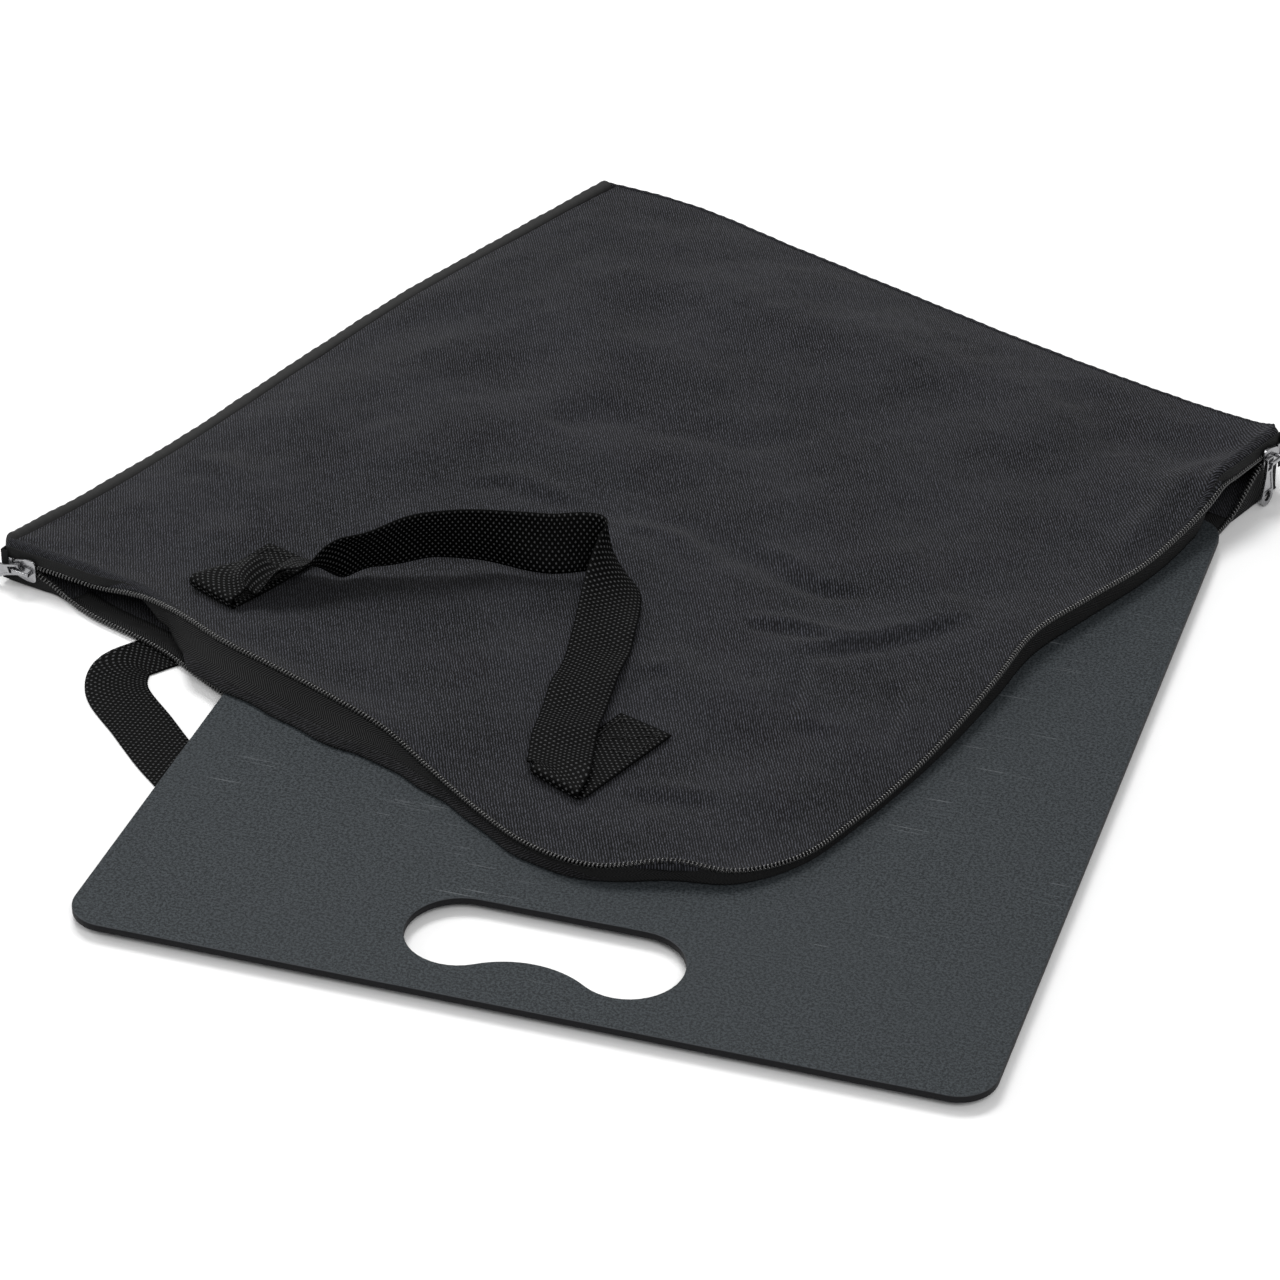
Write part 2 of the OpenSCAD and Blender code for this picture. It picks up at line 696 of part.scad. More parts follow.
module top_handle_loop() {
    color(web_colour) in_bag() webbing(top_loop, 60, web_w, web_t, 1);
}

module flat_end(x) {
    translate([x - web_w / 2, end_near_y, 0])
        cube([web_w, end_far_y - end_near_y, web_t]);
}

module bottom_handle_left_end() {
    color(web_colour) in_bag() flat_end(handle_x[0]);
}

module bottom_handle_right_end() {
    color(web_colour) in_bag() flat_end(handle_x[1]);
}

module bottom_handle_loop() {
    color(web_colour) in_bag() webbing(bottom_loop, 44, web_w, web_t - 0.1);
}

// Box stitches come through on the inside of the bottom panel
module bottom_handle_stitching() {
    margin = 3;
    box = web_w - 2 * margin;
    inner = box - 2 * thread_w;
    color([0.05, 0.05, 0.05]) in_bag() for (x = handle_x)
        translate([x, end_far_y - box / 2 - margin, base_t]) difference() {
            translate([-box / 2, -box / 2, 0]) cube([box, box, thread_h]);
            translate([-inner / 2, -inner / 2, -1]) cube([inner, inner, thread_h + 2]);
        }
}

board();
bag_top_panel();
bag_bottom_panel();
left_seam_binding();
back_seam();
upper_zip_tape();
lower_zip_tape();
upper_zip_coil();
lower_zip_coil();
left_zip_lead();
right_zip_lead();
left_zip_stop();
right_zip_stop();
left_zip_tab();
right_zip_tab();
left_slider_body();
left_slider_bridge();
left_pull_tab();
right_slider_body();
right_slider_bridge();
right_pull_tab();
top_handle_left_end();
top_handle_right_end();
top_handle_loop();
top_handle_stitching();
bottom_handle_left_end();
bottom_handle_right_end();
bottom_handle_loop();
bottom_handle_stitching();
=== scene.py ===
"""Looks for a flat laminate board half drawn out of its zipped cloth bag."""

import math

import bmesh
import bpy
import numpy as np
from mathutils import Matrix, Vector


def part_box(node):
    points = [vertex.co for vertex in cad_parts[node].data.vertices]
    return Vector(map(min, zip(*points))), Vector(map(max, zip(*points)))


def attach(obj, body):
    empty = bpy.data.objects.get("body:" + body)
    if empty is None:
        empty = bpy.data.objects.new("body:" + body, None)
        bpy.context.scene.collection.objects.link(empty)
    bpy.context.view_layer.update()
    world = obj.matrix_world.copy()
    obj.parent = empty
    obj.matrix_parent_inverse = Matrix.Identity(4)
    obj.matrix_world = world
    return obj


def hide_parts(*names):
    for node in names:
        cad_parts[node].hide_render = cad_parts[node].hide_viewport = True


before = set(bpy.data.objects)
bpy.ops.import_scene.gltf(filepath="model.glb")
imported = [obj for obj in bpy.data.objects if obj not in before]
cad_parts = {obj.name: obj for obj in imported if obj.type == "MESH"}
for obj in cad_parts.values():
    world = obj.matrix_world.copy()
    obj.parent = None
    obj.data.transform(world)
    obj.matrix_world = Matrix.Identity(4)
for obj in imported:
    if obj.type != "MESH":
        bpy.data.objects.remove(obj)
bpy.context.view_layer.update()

MM = 0.001
UP = np.array([0.0, 0.0, 1.0])

# ---------- sizes, in millimetres unless said ----------

BAG_TURN = math.radians(-20.3)
BOARD_CORNER_R = 15.0
SLOT_LOBE_R = 20.5
SLOT_HUMP_H = 10.0
BOARD_BEVEL = 0.35
CLOTH_T = 0.7
BOTTOM_CLOTH_T = 0.6
PANEL_Z = 13.0
BOTTOM_Z = 0.9
GATHER_PITCH = 6.3
COIL_PITCH = 1.6
COIL_RADIUS = 0.93
COIL_WIRE = 0.40
TAPE_T = 0.5
TAPE_HANG = 13.0
TAPE_LEAN = 9.0
TAPE_FOOT_Z = 7.0
SEAM_SIDES = 20  # points round the seam's section
NOSE_H = 6.6
NOSE_ROLL = 5.0
WEB_W = 25.0
WEB_T = 1.2
BOTTOM_WEB_T = 1.05
BOTTOM_WEB_Z = 0.6

# ---------- routes, as in the CAD model, in the bag's own frame ----------

UPPER_LIP = [
    (-172, -201.7, 11.1), (-160, -200, 11.1), (-148, -198.3, 11.1), (-136, -196.6, 11.1),
    (-124, -194.9, 11.1), (-100, -194, 15.5), (-75, -198, 19), (-48, -203, 20),
    (-18, -204.5, 20), (12, -206, 19.5), (40, -207, 17), (68, -213, 13.5), (98, -221, 12),
    (128, -227, 12), (157, -223.5, 13), (180, -206, 15.5), (200, -193, 12.5),
    (212, -168, 10.5), (214, -135, 10.5), (213, -100, 11), (210, -65, 13), (205, -30, 15.5),
    (199, 5, 17), (201, 40, 16), (204, 75, 15), (204, 104, 16.5), (203, 128, 19.5),
    (202, 142, 22.6), (202, 152, 22.6), (202, 164, 22.6), (202, 176, 22.6), (202, 188, 22.6),
]
LIP_CORNER = 15
LIP_END = len(UPPER_LIP) - 1
LOWER_LIP = [
    (-172, -201.7, 8.9), (-160, -200, 8.9), (-153, -199, 7.2), (-146, -198.2, 4.6),
    (-137, -199.5, 2.6), (-120, -202, 2.2), (-83, -203, 2.2), (-40, -211, 2.2),
    (0, -213, 2.2), (40, -215, 2.2), (85, -224, 2.2), (130, -230, 2.2), (165, -226, 2.2),
    (193, -208, 2.2), (211, -180, 2.2), (216, -140, 2.2), (216, -90, 2.2), (212, -35, 2.2),
    (207, 20, 2.2), (206, 75, 2.2), (205, 120, 2.2), (202.5, 143, 2.2), (202, 150, 3.6),
    (202, 157, 8), (202, 165, 14.5), (202, 171, 18.6), (202, 176, 20.4), (202, 188, 20.4),
]
LOWER_CORNER = 13.0

# Places along both routes, counted in points: where the zip's parts begin and end.
LEAD_ENDS = (3.9, 22.1)
SLIDER_REACH = (3.6, 27.8)
FACING_ENDS = (6.4, 24.4)
HEM_ENDS = (6.0, 14.5)
ZIP_MARGIN = 0.2
LEFT_SEAM = [
    (-180, -170, 11), (-183, -135, 7.5), (-187, -75, 5), (-194, 0, 4), (-199, 78, 4),
    (-199, 150, 4),
]
BACK_CORNER = (-197, 228, 5)
BACK_LINE = [
    (-150, 235, 4.5), (-85, 231, 4), (-24, 227, 4), (35, 223, 4), (92, 218, 6),
    (145, 209, 12), (180, 199, 20),
]
TOP_LOOP = [
    (-77.5, -175.5, 21.2, 0), (-74, -165.5, 21.4, 3), (-66.5, -155.5, 21.8, 12),
    (-55, -142.5, 24.5, 42), (-41, -129, 27.5, 70), (-31, -112, 30, 78), (-18, -98, 31, 80),
    (0, -86, 30, 94), (16, -76, 28.5, 108), (26, -65, 28, 106), (35, -61, 27.5, 84),
    (43, -67, 24, 48), (52, -81, 18.5, 16), (69, -110, 16.8, 0), (84, -141, 16.8, 0),
    (99, -169, 17.2, 0), (114.5, -192, 18, 0),
]
BOTTOM_LOOP = [
    (-80, -187.4, 0.6, 0), (-80, -194, 0.6, 0), (-85, -208, 0.6, 0), (-87, -221, 0.6, 0),
    (-76, -235, 0.6, 0), (-52, -246, 0.6, 0), (-22, -259, 0.6, 0), (15, -270, 0.6, 0),
    (52, -274, 0.6, 0), (86, -264, 0.6, 0), (108, -242, 0.6, 0), (116, -215, 0.6, 0),
    (117, -196, 0.6, 0), (117, -187.4, 0.6, 0),
]
TOP_END_X = (-77.5, 115.5)
TOP_END_NEAR_Y = (-175, -191.5)
TOP_END_FAR_Y = (-130, -139)
FOLD_LINE = np.array([0.9962, -0.0856, -0.0166])
FOLD_REACH = 12
HANDLE_X = (-80, 117)
END_NEAR_Y = -186.7
END_FAR_Y = -136

# Buckles in the top handle: (place from the loop's end, width, height).
ARCH_BUCKLES = [(13, 4.5, 2.6), (23, 3.6, -2.8), (33, 5.0, 3.0), (46, 5.5, -2.0), (60, 7.0, 1.5)]
LEG_BUCKLES = [(20, 6.0, -0.7), (34, 7.0, 1.1), (52, 8.0, -1.0), (70, 8.0, 1.0), (92, 9.0, -1.2)]

# Soft folds that lie in the top panel: (route, height, width, kind). A ridge stands up or
# sinks in along its route, and a step is a crease that is lit on one side.
FOLDS = [
    ([(64, -1), (81, -7), (105, -11), (128, -1)], 1.3, 6, "step"),
    ([(98, -55), (117, -46), (142, -40)], 1.2, 6, "step"),
    ([(128, -64), (150, -30), (172, 4)], 1.6, 7, "step"),
    ([(136, -58), (147, -79), (160, -99), (179, -97)], 1.2, 6, "step"),
    ([(174, -50), (188, -71), (200, -95)], 1.3, 6, "step"),
    ([(84, -114), (102, -103)], 0.8, 6, "step"),
    ([(18, -33), (30, -22), (60, -32)], 0.9, 9, "step"),
    ([(130, -180), (150, -170), (172, -158)], 1.0, 8, "step"),
    ([(-168, -91), (-140, -102), (-104, -125)], 1.5, 9, "step"),
    ([(-62, -43), (-46, -29), (-27, -28), (-6, -22)], 1.0, 7, "step"),
    ([(-98, 85), (-71, 95), (-39, 94), (-10, 99)], 1.3, 14, "ridge"),
    ([(-45, 46), (-9, 55), (17, 66), (34, 92)], -1.6, 13, "ridge"),
    ([(-20, -27), (11, -17), (45, -9), (82, -15), (115, -9), (156, 10)], -1.3, 10, "ridge"),
    ([(105, 35), (130, 20), (151, 6), (173, 3)], 1.2, 9, "ridge"),
    ([(188, 176), (184, 150), (188, 110), (196, 60)], 1.6, 9, "ridge"),
    ([(85, 193), (117, 180), (150, 152)], -1.4, 14, "ridge"),
    ([(-60, 15), (-54, 35), (-43, 55)], -1.3, 11, "ridge"),
    ([(-150, -60), (-110, -30), (-70, 10), (-40, 60)], 1.5, 24, "ridge"),
    ([(-120, 150), (-40, 170), (60, 150)], 1.1, 26, "ridge"),
    ([(20, -150), (60, -120), (110, -100), (150, -120)], 1.2, 18, "ridge"),
]

FOLD_GAIN = 2.5

# ---------- curves and meshes ----------


def along(points, x):
    """Points at the places x along a smooth curve through points, x counted in points."""
    p = np.asarray(points, float)
    x = np.clip(np.asarray(x, float), 0, len(p) - 1)
    i = np.minimum(x.astype(int), len(p) - 2)
    f = (x - i)[..., None]
    a = p[np.maximum(i - 1, 0)]
    b = p[i]
    c = p[i + 1]
    d = p[np.minimum(i + 2, len(p) - 1)]
    return 0.5 * (2 * b + (c - a) * f + (2 * a - 5 * b + 4 * c - d) * f**2
                  + (3 * b - a - 3 * c + d) * f**3)


def unit(v):
    """The vectors v, each at length 1."""
    return v / np.linalg.norm(v, axis=-1, keepdims=True)


def ramp(x, low, high):
    """0 below low, 1 above high, and smooth between."""
    t = np.clip((np.asarray(x, float) - low) / (high - low), 0, 1)
    return t * t * (3 - 2 * t)


def directions(points, x, step=0.02):
    """Unit directions along the curve and flat to its right, at the places x."""
    a = along(points, np.maximum(np.asarray(x, float) - step, 0))[..., :3]
    b = along(points, np.minimum(np.asarray(x, float) + step, len(points) - 1))[..., :3]
    forward = unit(b - a)
    right = unit(np.stack([b[..., 1] - a[..., 1], a[..., 0] - b[..., 0],
                           np.zeros(a.shape[:-1])], axis=-1))
    return forward, right


def distances(p):
    """How far along a line of points each one is."""
    return np.concatenate([[0], np.cumsum(np.linalg.norm(np.diff(p, axis=0), axis=1))])


def even_places(points, step, start=0.0, end=None):
    """Places along the curve, evenly step apart, and their distances from the start."""
    end = len(points) - 1 if end is None else end
    x = np.linspace(start, end, 4000)
    p = along(points, x)[:, :3]
    length = distances(p)
    count = max(2, int(round(length[-1] / step)) + 1)
    want = np.linspace(0, length[-1], count)
    return np.interp(want, length, x), want


def in_bag(points):
    """From the bag's own frame, in millimetres, to the object's frame, in metres."""
    p = np.asarray(points, float)
    c = math.cos(BAG_TURN)
    s = math.sin(BAG_TURN)
    turned = np.stack([c * p[..., 0] - s * p[..., 1], s * p[..., 0] + c * p[..., 1],
                       p[..., 2]], axis=-1)
    return turned * MM


def new_object(name, data):
    """An object linked into the scene."""
    obj = bpy.data.objects.new(name, data)
    bpy.context.scene.collection.objects.link(obj)
    return obj


def add_piece(name, points, faces, material, body, lay=None):
    """A mesh object from points in metres. lay is where each point is on the flat cloth."""
    mesh = bpy.data.meshes.new(name)
    mesh.from_pydata([tuple(p) for p in points], [], [tuple(int(i) for i in f) for f in faces])
    mesh.update()
    mesh.polygons.foreach_set("use_smooth", [True] * len(mesh.polygons))
    mesh.materials.append(material)
    if lay is not None:
        attribute = mesh.attributes.new("lay", "FLOAT_VECTOR", "POINT")
        attribute.data.foreach_set("vector", np.asarray(lay, np.float32).ravel())
    obj = new_object(name, mesh)
    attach(obj, body)
    return obj


def grid_faces(rows, columns, closed=False, offset=0):
    """Quads of a grid of rows by columns points, its columns joined round where closed."""
    last = columns if closed else columns - 1
    return [(offset + i * columns + j, offset + i * columns + (j + 1) % columns,
             offset + (i + 1) * columns + (j + 1) % columns, offset + (i + 1) * columns + j)
            for i in range(rows - 1) for j in range(last)]


def swept(sections):
    """Points and faces of a closed tube through sections, an array of rows by points by 3."""
    rows, columns = sections.shape[:2]
    faces = grid_faces(rows, columns, closed=True)
    faces.append(tuple(range(columns - 1, -1, -1)))
    faces.append(tuple((rows - 1) * columns + j for j in range(columns)))
    return sections.reshape(-1, 3), faces


def tube_lay(lengths, around):
    """Where the points of a tube are on its flat cloth: along it, and around or across it."""
    lay = np.zeros((len(lengths), len(around), 3))
    lay[..., 0] = lengths[:, None]
    lay[..., 1] = around
    return lay.reshape(-1, 3)


def thicken(obj, thickness, offset=-1.0):
    """Give a sheet its thickness: below its points, or half each way with an offset of 0."""
    modifier = obj.modifiers.new("thickness", "SOLIDIFY")
    modifier.thickness = thickness * MM
    modifier.offset = offset
    modifier.use_even_offset = False
    return obj


def wavy(x, y, waves, low, high, seed):
    """Sum of random plane waves over x and y, of lengths from low to high, about -1 to 1."""
    random = np.random.default_rng(seed)
    total = np.zeros(np.shape(x))
    for _ in range(waves):
        angle = random.uniform(0, math.tau)
        number = math.tau / random.uniform(low, high)
        phase = random.uniform(0, math.tau)
        total = total + np.sin(number * (x * math.cos(angle) + y * math.sin(angle)) + phase)
    return total / math.sqrt(waves) * 0.8


# ---------- materials ----------


class Paint:
    """A node material, built up one node at a time."""

    def __init__(self, name, roughness, metallic=0.0, specular=0.5):
        self.material = bpy.data.materials.new(name)
        self.material.use_nodes = True
        self.tree = self.material.node_tree
        self.shader = self.tree.nodes["Principled BSDF"]
        self.shader.inputs["Roughness"].default_value = roughness
        self.shader.inputs["Metallic"].default_value = metallic
        self.shader.inputs["Specular IOR Level"].default_value = specular

    def node(self, kind, settings=None, **inputs):
        node = self.tree.nodes.new(kind)
        for key, value in (settings or {}).items():
            setattr(node, key, value)
        for key, value in inputs.items():
            self.put(node.inputs[int(key[1:])] if key[0] == "i" and key[1:].isdigit()
                     else node.inputs[key.replace("_", " ")], value)
        return node

    def put(self, socket, value):
        if isinstance(value, bpy.types.NodeSocket):
            self.tree.links.new(value, socket)
        else:
            socket.default_value = value

    def math(self, operation, a, b=0.0):
        node = self.node("ShaderNodeMath", {"operation": operation}, i0=a, i1=b)
        return node.outputs[0]

    def range(self, value, low, high, to_low=0.0, to_high=1.0):
        node = self.node("ShaderNodeMapRange", {"interpolation_type": "SMOOTHSTEP"}, i0=value,
                         i1=low, i2=high, i3=to_low, i4=to_high)
        return node.outputs[0]

    def mix(self, factor, a, b):
        node = self.node("ShaderNodeMix", {"data_type": "RGBA"}, i0=factor, i6=a, i7=b)
        return node.outputs[2]

    def noise(self, vector, scale, detail=2.0, roughness=0.5):
        node = self.node("ShaderNodeTexNoise", None, Vector=vector, Scale=scale, Detail=detail,
                         Roughness=roughness)
        return node.outputs[0]

    def place(self):
        return self.node("ShaderNodeTexCoord").outputs["Object"]

    def lay(self):
        return self.node("ShaderNodeAttribute", {"attribute_name": "lay"}).outputs["Vector"]

    def moved(self, vector, rotation=0.0, scale=(1, 1, 1)):
        node = self.node("ShaderNodeMapping", None, Vector=vector, Rotation=(0, 0, rotation),
                         Scale=scale)
        return node.outputs[0]

    def split(self, vector):
        return self.node("ShaderNodeSeparateXYZ", None, Vector=vector).outputs

    def colour(self, value):
        self.put(self.shader.inputs["Base Color"], value)

    def roughness(self, value):
        self.put(self.shader.inputs["Roughness"], value)

    def bump(self, height, distance, strength=1.0):
        node = self.node("ShaderNodeBump", None, Strength=strength, Distance=distance,
                         Height=height)
        self.put(self.shader.inputs["Normal"], node.outputs[0])


def grey(value, blue=0.0):
    """A grey colour, with a little more blue in it where asked."""
    return (value, value * (1 + blue * 0.4), value * (1 + blue), 1.0)


def board_paint():
    """Fine textured laminate: a paler rim, part wear and part painted highlight, hairline scratches
    and a black core.
    """
    paint = Paint("board_laminate", 0.6, specular=0.12)
    place = paint.place()
    up = paint.split(paint.node("ShaderNodeNewGeometry").outputs["Normal"])[2]
    speckle = paint.noise(place, 950.0, 3.0, 0.8)
    cloudy = paint.noise(place, 9.0, 3.0)
    lines = None
    for angle, seed_scale in ((0.5, 30.0), (-0.9, 22.0), (1.5, 26.0)):
        stretched = paint.moved(place, angle, (seed_scale, 1400.0, 1.0))
        thin = paint.range(paint.noise(stretched, 1.0, 1.0), 0.71, 0.77)
        lines = thin if lines is None else paint.math("MAXIMUM", lines, thin)
    sparse = paint.range(paint.noise(place, 14.0, 2.0), 0.53, 0.64)
    scratches = paint.math("MULTIPLY", lines, sparse)
    face = paint.mix(paint.range(speckle, 0.38, 0.62), (0.011, 0.0135, 0.0155, 1),
                     (0.050, 0.0575, 0.063, 1))
    face = paint.mix(paint.range(cloudy, 0.3, 0.7, 0.0, 0.22), face, (0.034, 0.039, 0.043, 1))
    face = paint.mix(paint.math("MULTIPLY", scratches, 0.7), face, (0.16, 0.17, 0.18, 1))
    level = paint.range(paint.math("ABSOLUTE", up), 0.35, 0.9)
    colour = paint.mix(level, (0.006, 0.006, 0.007, 1), face)
    # Painted highlight, partly wear: the sloped faces of the rounded edges are made paler in patches,
    # standing in for light caught along the rim.
    rim = paint.math("MULTIPLY", paint.range(up, 0.2, 0.5), paint.range(up, 0.999, 0.93))
    wear_and_highlight = paint.math("MULTIPLY", rim, paint.range(paint.noise(place, 60.0, 3.0), 0.3, 0.6, 0.3, 0.9))
    paint.colour(paint.mix(wear_and_highlight, colour, (0.045, 0.048, 0.052, 1)))
    paint.roughness(paint.range(speckle, 0.2, 0.8, 0.5, 0.66))
    paint.bump(speckle, 0.00012, 0.5)
    return paint.material


def cloth_paint(name, dark, light):
    """Twill: fine diagonal ribs, uneven yarns, fluff, small creases and a soft sheen."""
    paint = Paint(name, 0.88, specular=0.12)
    rib_pitch = 1.08
    slant = math.radians(-45)
    lay = paint.lay()
    drift = paint.noise(lay, 0.35, 2.0)
    turned = paint.moved(lay, slant)
    across = paint.math("ADD", paint.split(turned)[0], paint.math("MULTIPLY", drift, 1.2))
    rib = paint.math("SINE", paint.math("MULTIPLY", across, math.tau / rib_pitch))
    rib = paint.range(rib, -1.0, 1.0)
    yarn = paint.noise(paint.moved(lay, slant, (2.6, 0.9, 1.0)), 1.0, 2.0)
    fluff = paint.noise(lay, 2.2, 3.0, 0.65)
    patch = paint.noise(lay, 0.02, 3.0)
    slub = paint.noise(paint.moved(lay, slant, (1.1, 0.3, 1.0)), 1.0, 2.0)
    shade = paint.math("MULTIPLY", paint.range(rib, 0.35, 1.0, 0.02, 1.0),
                       paint.range(yarn, 0.3, 0.7, 0.2, 1.0))
    shade = paint.math("MULTIPLY", shade, paint.range(slub, 0.3, 0.7, 0.30, 1.4))
    colour = paint.mix(shade, dark, light)
    colour = paint.mix(paint.range(patch, 0.35, 0.65, 0.0, 0.07), colour, light)
    lint = paint.range(paint.noise(lay, 0.45, 1.0), 0.80, 0.83)
    paint.colour(paint.mix(paint.math("MULTIPLY", lint, 0.4), colour, grey(0.07)))
    creases = paint.noise(lay, 0.06, 3.0)
    height = paint.math("ADD", rib, paint.math("MULTIPLY", fluff, 0.6))
    height = paint.math("ADD", height, paint.math("MULTIPLY", creases, 3.0))
    paint.bump(height, 0.00028, 1.0)
    paint.shader.inputs["Sheen Weight"].default_value = 0.04
    return paint.material


def webbing_paint():
    """Coarse basket weave."""
    paint = Paint("webbing", 0.5, specular=0.05)
    lay = paint.lay()
    xyz = paint.split(lay)
    pitch_along = 2.4
    pitch_across = 3.3
    u = paint.math("MULTIPLY", xyz[0], math.pi / pitch_along)
    v = paint.math("MULTIPLY", xyz[1], math.pi / pitch_across)
    diagonal = paint.math("MULTIPLY", paint.math("SINE", paint.math("ADD", u, v)),
                          paint.math("SINE", paint.math("SUBTRACT", u, v)))
    knuckle = paint.range(paint.math("ABSOLUTE", diagonal), 0.5, 1.0)
    strands = paint.noise(paint.moved(lay, 0.0, (6.0, 1.2, 1.0)), 1.0, 2.0)
    patch = paint.noise(lay, 0.08, 2.0)
    # Painted highlight: the knuckle tops get a bright colour that stands for glints of light on the
    # shiny weave, and the rest stays near black.
    light = paint.math("MULTIPLY", knuckle, paint.range(strands, 0.25, 0.75, 0.5, 1.0))
    colour = paint.mix(light, grey(0.0003), grey(0.100, 0.04))
    paint.colour(paint.mix(paint.range(patch, 0.35, 0.65, 0.0, 0.08), colour, grey(0.004)))
    height = paint.math("ADD", knuckle, paint.math("MULTIPLY", strands, 0.25))
    paint.bump(height, 0.0008, 1.0)
    return paint.material


def tape_paint():
    """Zip tape: herringbone in two columns."""
    paint = Paint("zip_tape", 0.8, specular=0.12)
    xyz = paint.split(paint.lay())
    column = 4.2
    rib_pitch = 1.3
    fold = paint.math("PINGPONG", xyz[1], column)
    along_rib = paint.math("ADD", xyz[0], fold)
    rib = paint.math("SINE", paint.math("MULTIPLY", along_rib, math.tau / rib_pitch))
    rib = paint.range(rib, -1.0, 1.0)
    fluff = paint.noise(paint.lay(), 1.8, 2.0)
    shade = paint.math("MULTIPLY", rib, paint.range(fluff, 0.3, 0.7, 0.6, 1.0))
    paint.colour(paint.mix(shade, grey(0.0006), grey(0.034, 0.03)))
    paint.bump(rib, 0.0002, 0.7)
    return paint.material


def plain_fibre_paint(name, value):
    """Smooth turned cloth or thread, with fine fibres."""
    paint = Paint(name, 0.8, specular=0.3)
    place = paint.place()
    fibre = paint.noise(place, 1600.0, 3.0, 0.6)
    paint.colour(paint.mix(fibre, grey(value * 0.5), grey(value * 1.5)))
    paint.bump(fibre, 0.00012, 0.6)
    return paint.material


def coil_paint():
    """Moulded nylon teeth, glossy on their crests."""
    paint = Paint("zip_coil", 0.22, specular=0.6)
    fine = paint.noise(paint.place(), 900.0, 2.0)
    paint.colour(paint.mix(fine, grey(0.010), grey(0.024)))
    paint.shader.inputs["Coat Weight"].default_value = 0.5
    paint.roughness(paint.range(fine, 0.2, 0.8, 0.16, 0.3))
    return paint.material


def metal_paint():
    """Nickel plate with faint handling marks."""
    paint = Paint("zip_metal", 0.2, metallic=1.0)
    place = paint.place()
    rubbed = paint.noise(paint.moved(place, 0.4, (300.0, 2600.0, 900.0)), 1.0, 2.0)
    cloudy = paint.noise(place, 260.0, 2.0)
    paint.colour(paint.mix(cloudy, (0.24, 0.24, 0.25, 1), (0.40, 0.40, 0.41, 1)))
    paint.roughness(paint.range(rubbed, 0.3, 0.7, 0.14, 0.34))
    paint.bump(rubbed, 0.00002, 0.4)
    return paint.material


def floor_paint():
    """Plain white studio floor."""
    paint = Paint("floor", 0.9, specular=0.1)
    fine = paint.noise(paint.place(), 40.0, 2.0)
    paint.colour(paint.mix(fine, grey(0.90), grey(0.93)))
    return paint.material


BOARD = board_paint()
CLOTH = cloth_paint("bag_cloth", (0.0008, 0.0008, 0.0010, 1), (0.071, 0.073, 0.087, 1))
# Painted shade: a darker copy of the bag cloth, for the hem that lies in the shade under the lip.
SHADED_HEM_CLOTH = cloth_paint("shaded_hem_cloth", (0.0004, 0.0004, 0.0005, 1), (0.028, 0.028, 0.032, 1))
BINDING = plain_fibre_paint("binding_cloth", 0.020)
WEBBING = webbing_paint()
TAPE = tape_paint()
COIL = coil_paint()
METAL = metal_paint()
THREAD = plain_fibre_paint("thread", 0.008)
FLOOR = floor_paint()

# ---------- board ----------


def arc(centre, radius, start, end, steps):
    """Points on an arc, its angles in degrees."""
    angles = np.radians(np.linspace(start, end, steps))
    return [(centre[0] + radius * math.cos(a), centre[1] + radius * math.sin(a)) for a in angles]


def board_outline(width, depth):
    """Rounded rectangle from its front left corner, anticlockwise."""
    r = BOARD_CORNER_R
    corners = [((width - r, r), -90), ((width - r, depth - r), 0), ((r, depth - r), 90),
               ((r, r), 180)]
    return [p for centre, start in corners for p in arc(centre, r, start, start + 90, 15)]


def slot_outline(middle_x, front_y, length):
    """Two round lobes joined by a straight far edge and a convex finger hump."""
    r = SLOT_LOBE_R
    reach = length / 2 - r
    drop = r - SLOT_HUMP_H
    hump_r = (reach**2 + drop**2 - r**2) / (2 * (r - drop))
    y = front_y + r
    turn = math.degrees(math.atan2(hump_r + drop, reach))
    right = arc((middle_x + reach, y), r, 90, -180 + turn, 25)
    hump = arc((middle_x, y - drop - hump_r), hump_r, turn, 180 - turn, 17)
    left = arc((middle_x - reach, y), r, -turn, -270, 25)
    return right + hump[1:-1] + left


def make_board():
    """The board with its slot, its edges a little rounded."""
    low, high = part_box("board")
    width = (high.x - low.x) / MM
    depth = (high.y - low.y) / MM
    thickness = (high.z - low.z) / MM
    curve = bpy.data.curves.new("board_panel", "CURVE")
    curve.dimensions = "2D"
    curve.fill_mode = "BOTH"
    for outline in (board_outline(width, depth), slot_outline(width / 2, 17.0, 106.0)):
        spline = curve.splines.new("POLY")
        spline.points.add(len(outline) - 1)
        for point, (x, y) in zip(spline.points, outline):
            point.co = (x * MM, y * MM, 0, 1)
        spline.use_cyclic_u = True
    curve.offset = -BOARD_BEVEL * MM
    curve.extrude = (thickness / 2 - BOARD_BEVEL) * MM
    curve.bevel_depth = BOARD_BEVEL * MM
    curve.bevel_resolution = 3
    drawn = new_object("board_curve", curve)
    graph = bpy.context.evaluated_depsgraph_get()
    mesh = bpy.data.meshes.new_from_object(drawn.evaluated_get(graph))
    bpy.data.objects.remove(drawn)
    mesh.transform(Matrix.Translation((low.x, low.y, (low.z + high.z) / 2)))
    mesh.name = "board_panel"
    mesh.materials.clear()
    mesh.materials.append(BOARD)
    piece = new_object("board_panel", mesh)
    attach(piece, "board")
    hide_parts("board")


# ---------- cloth panels ----------


def near_slider(x):
    """1 near the sliders, where the coil hangs below the panel's edge, and 0 between."""
    return np.maximum(1 - ramp(x, SLIDER_REACH[0], FACING_ENDS[0]),
                      ramp(x, FACING_ENDS[1], SLIDER_REACH[1]))


def lip_edge(x):
    """Edge of the top panel beside the upper coil."""
    p = along(UPPER_LIP, x)
    right = directions(UPPER_LIP, x)[1]
    q = near_slider(x)[..., None]
    return p - (1.5 + (NOSE_ROLL - 1.5) * q) * right + NOSE_H * q * UP


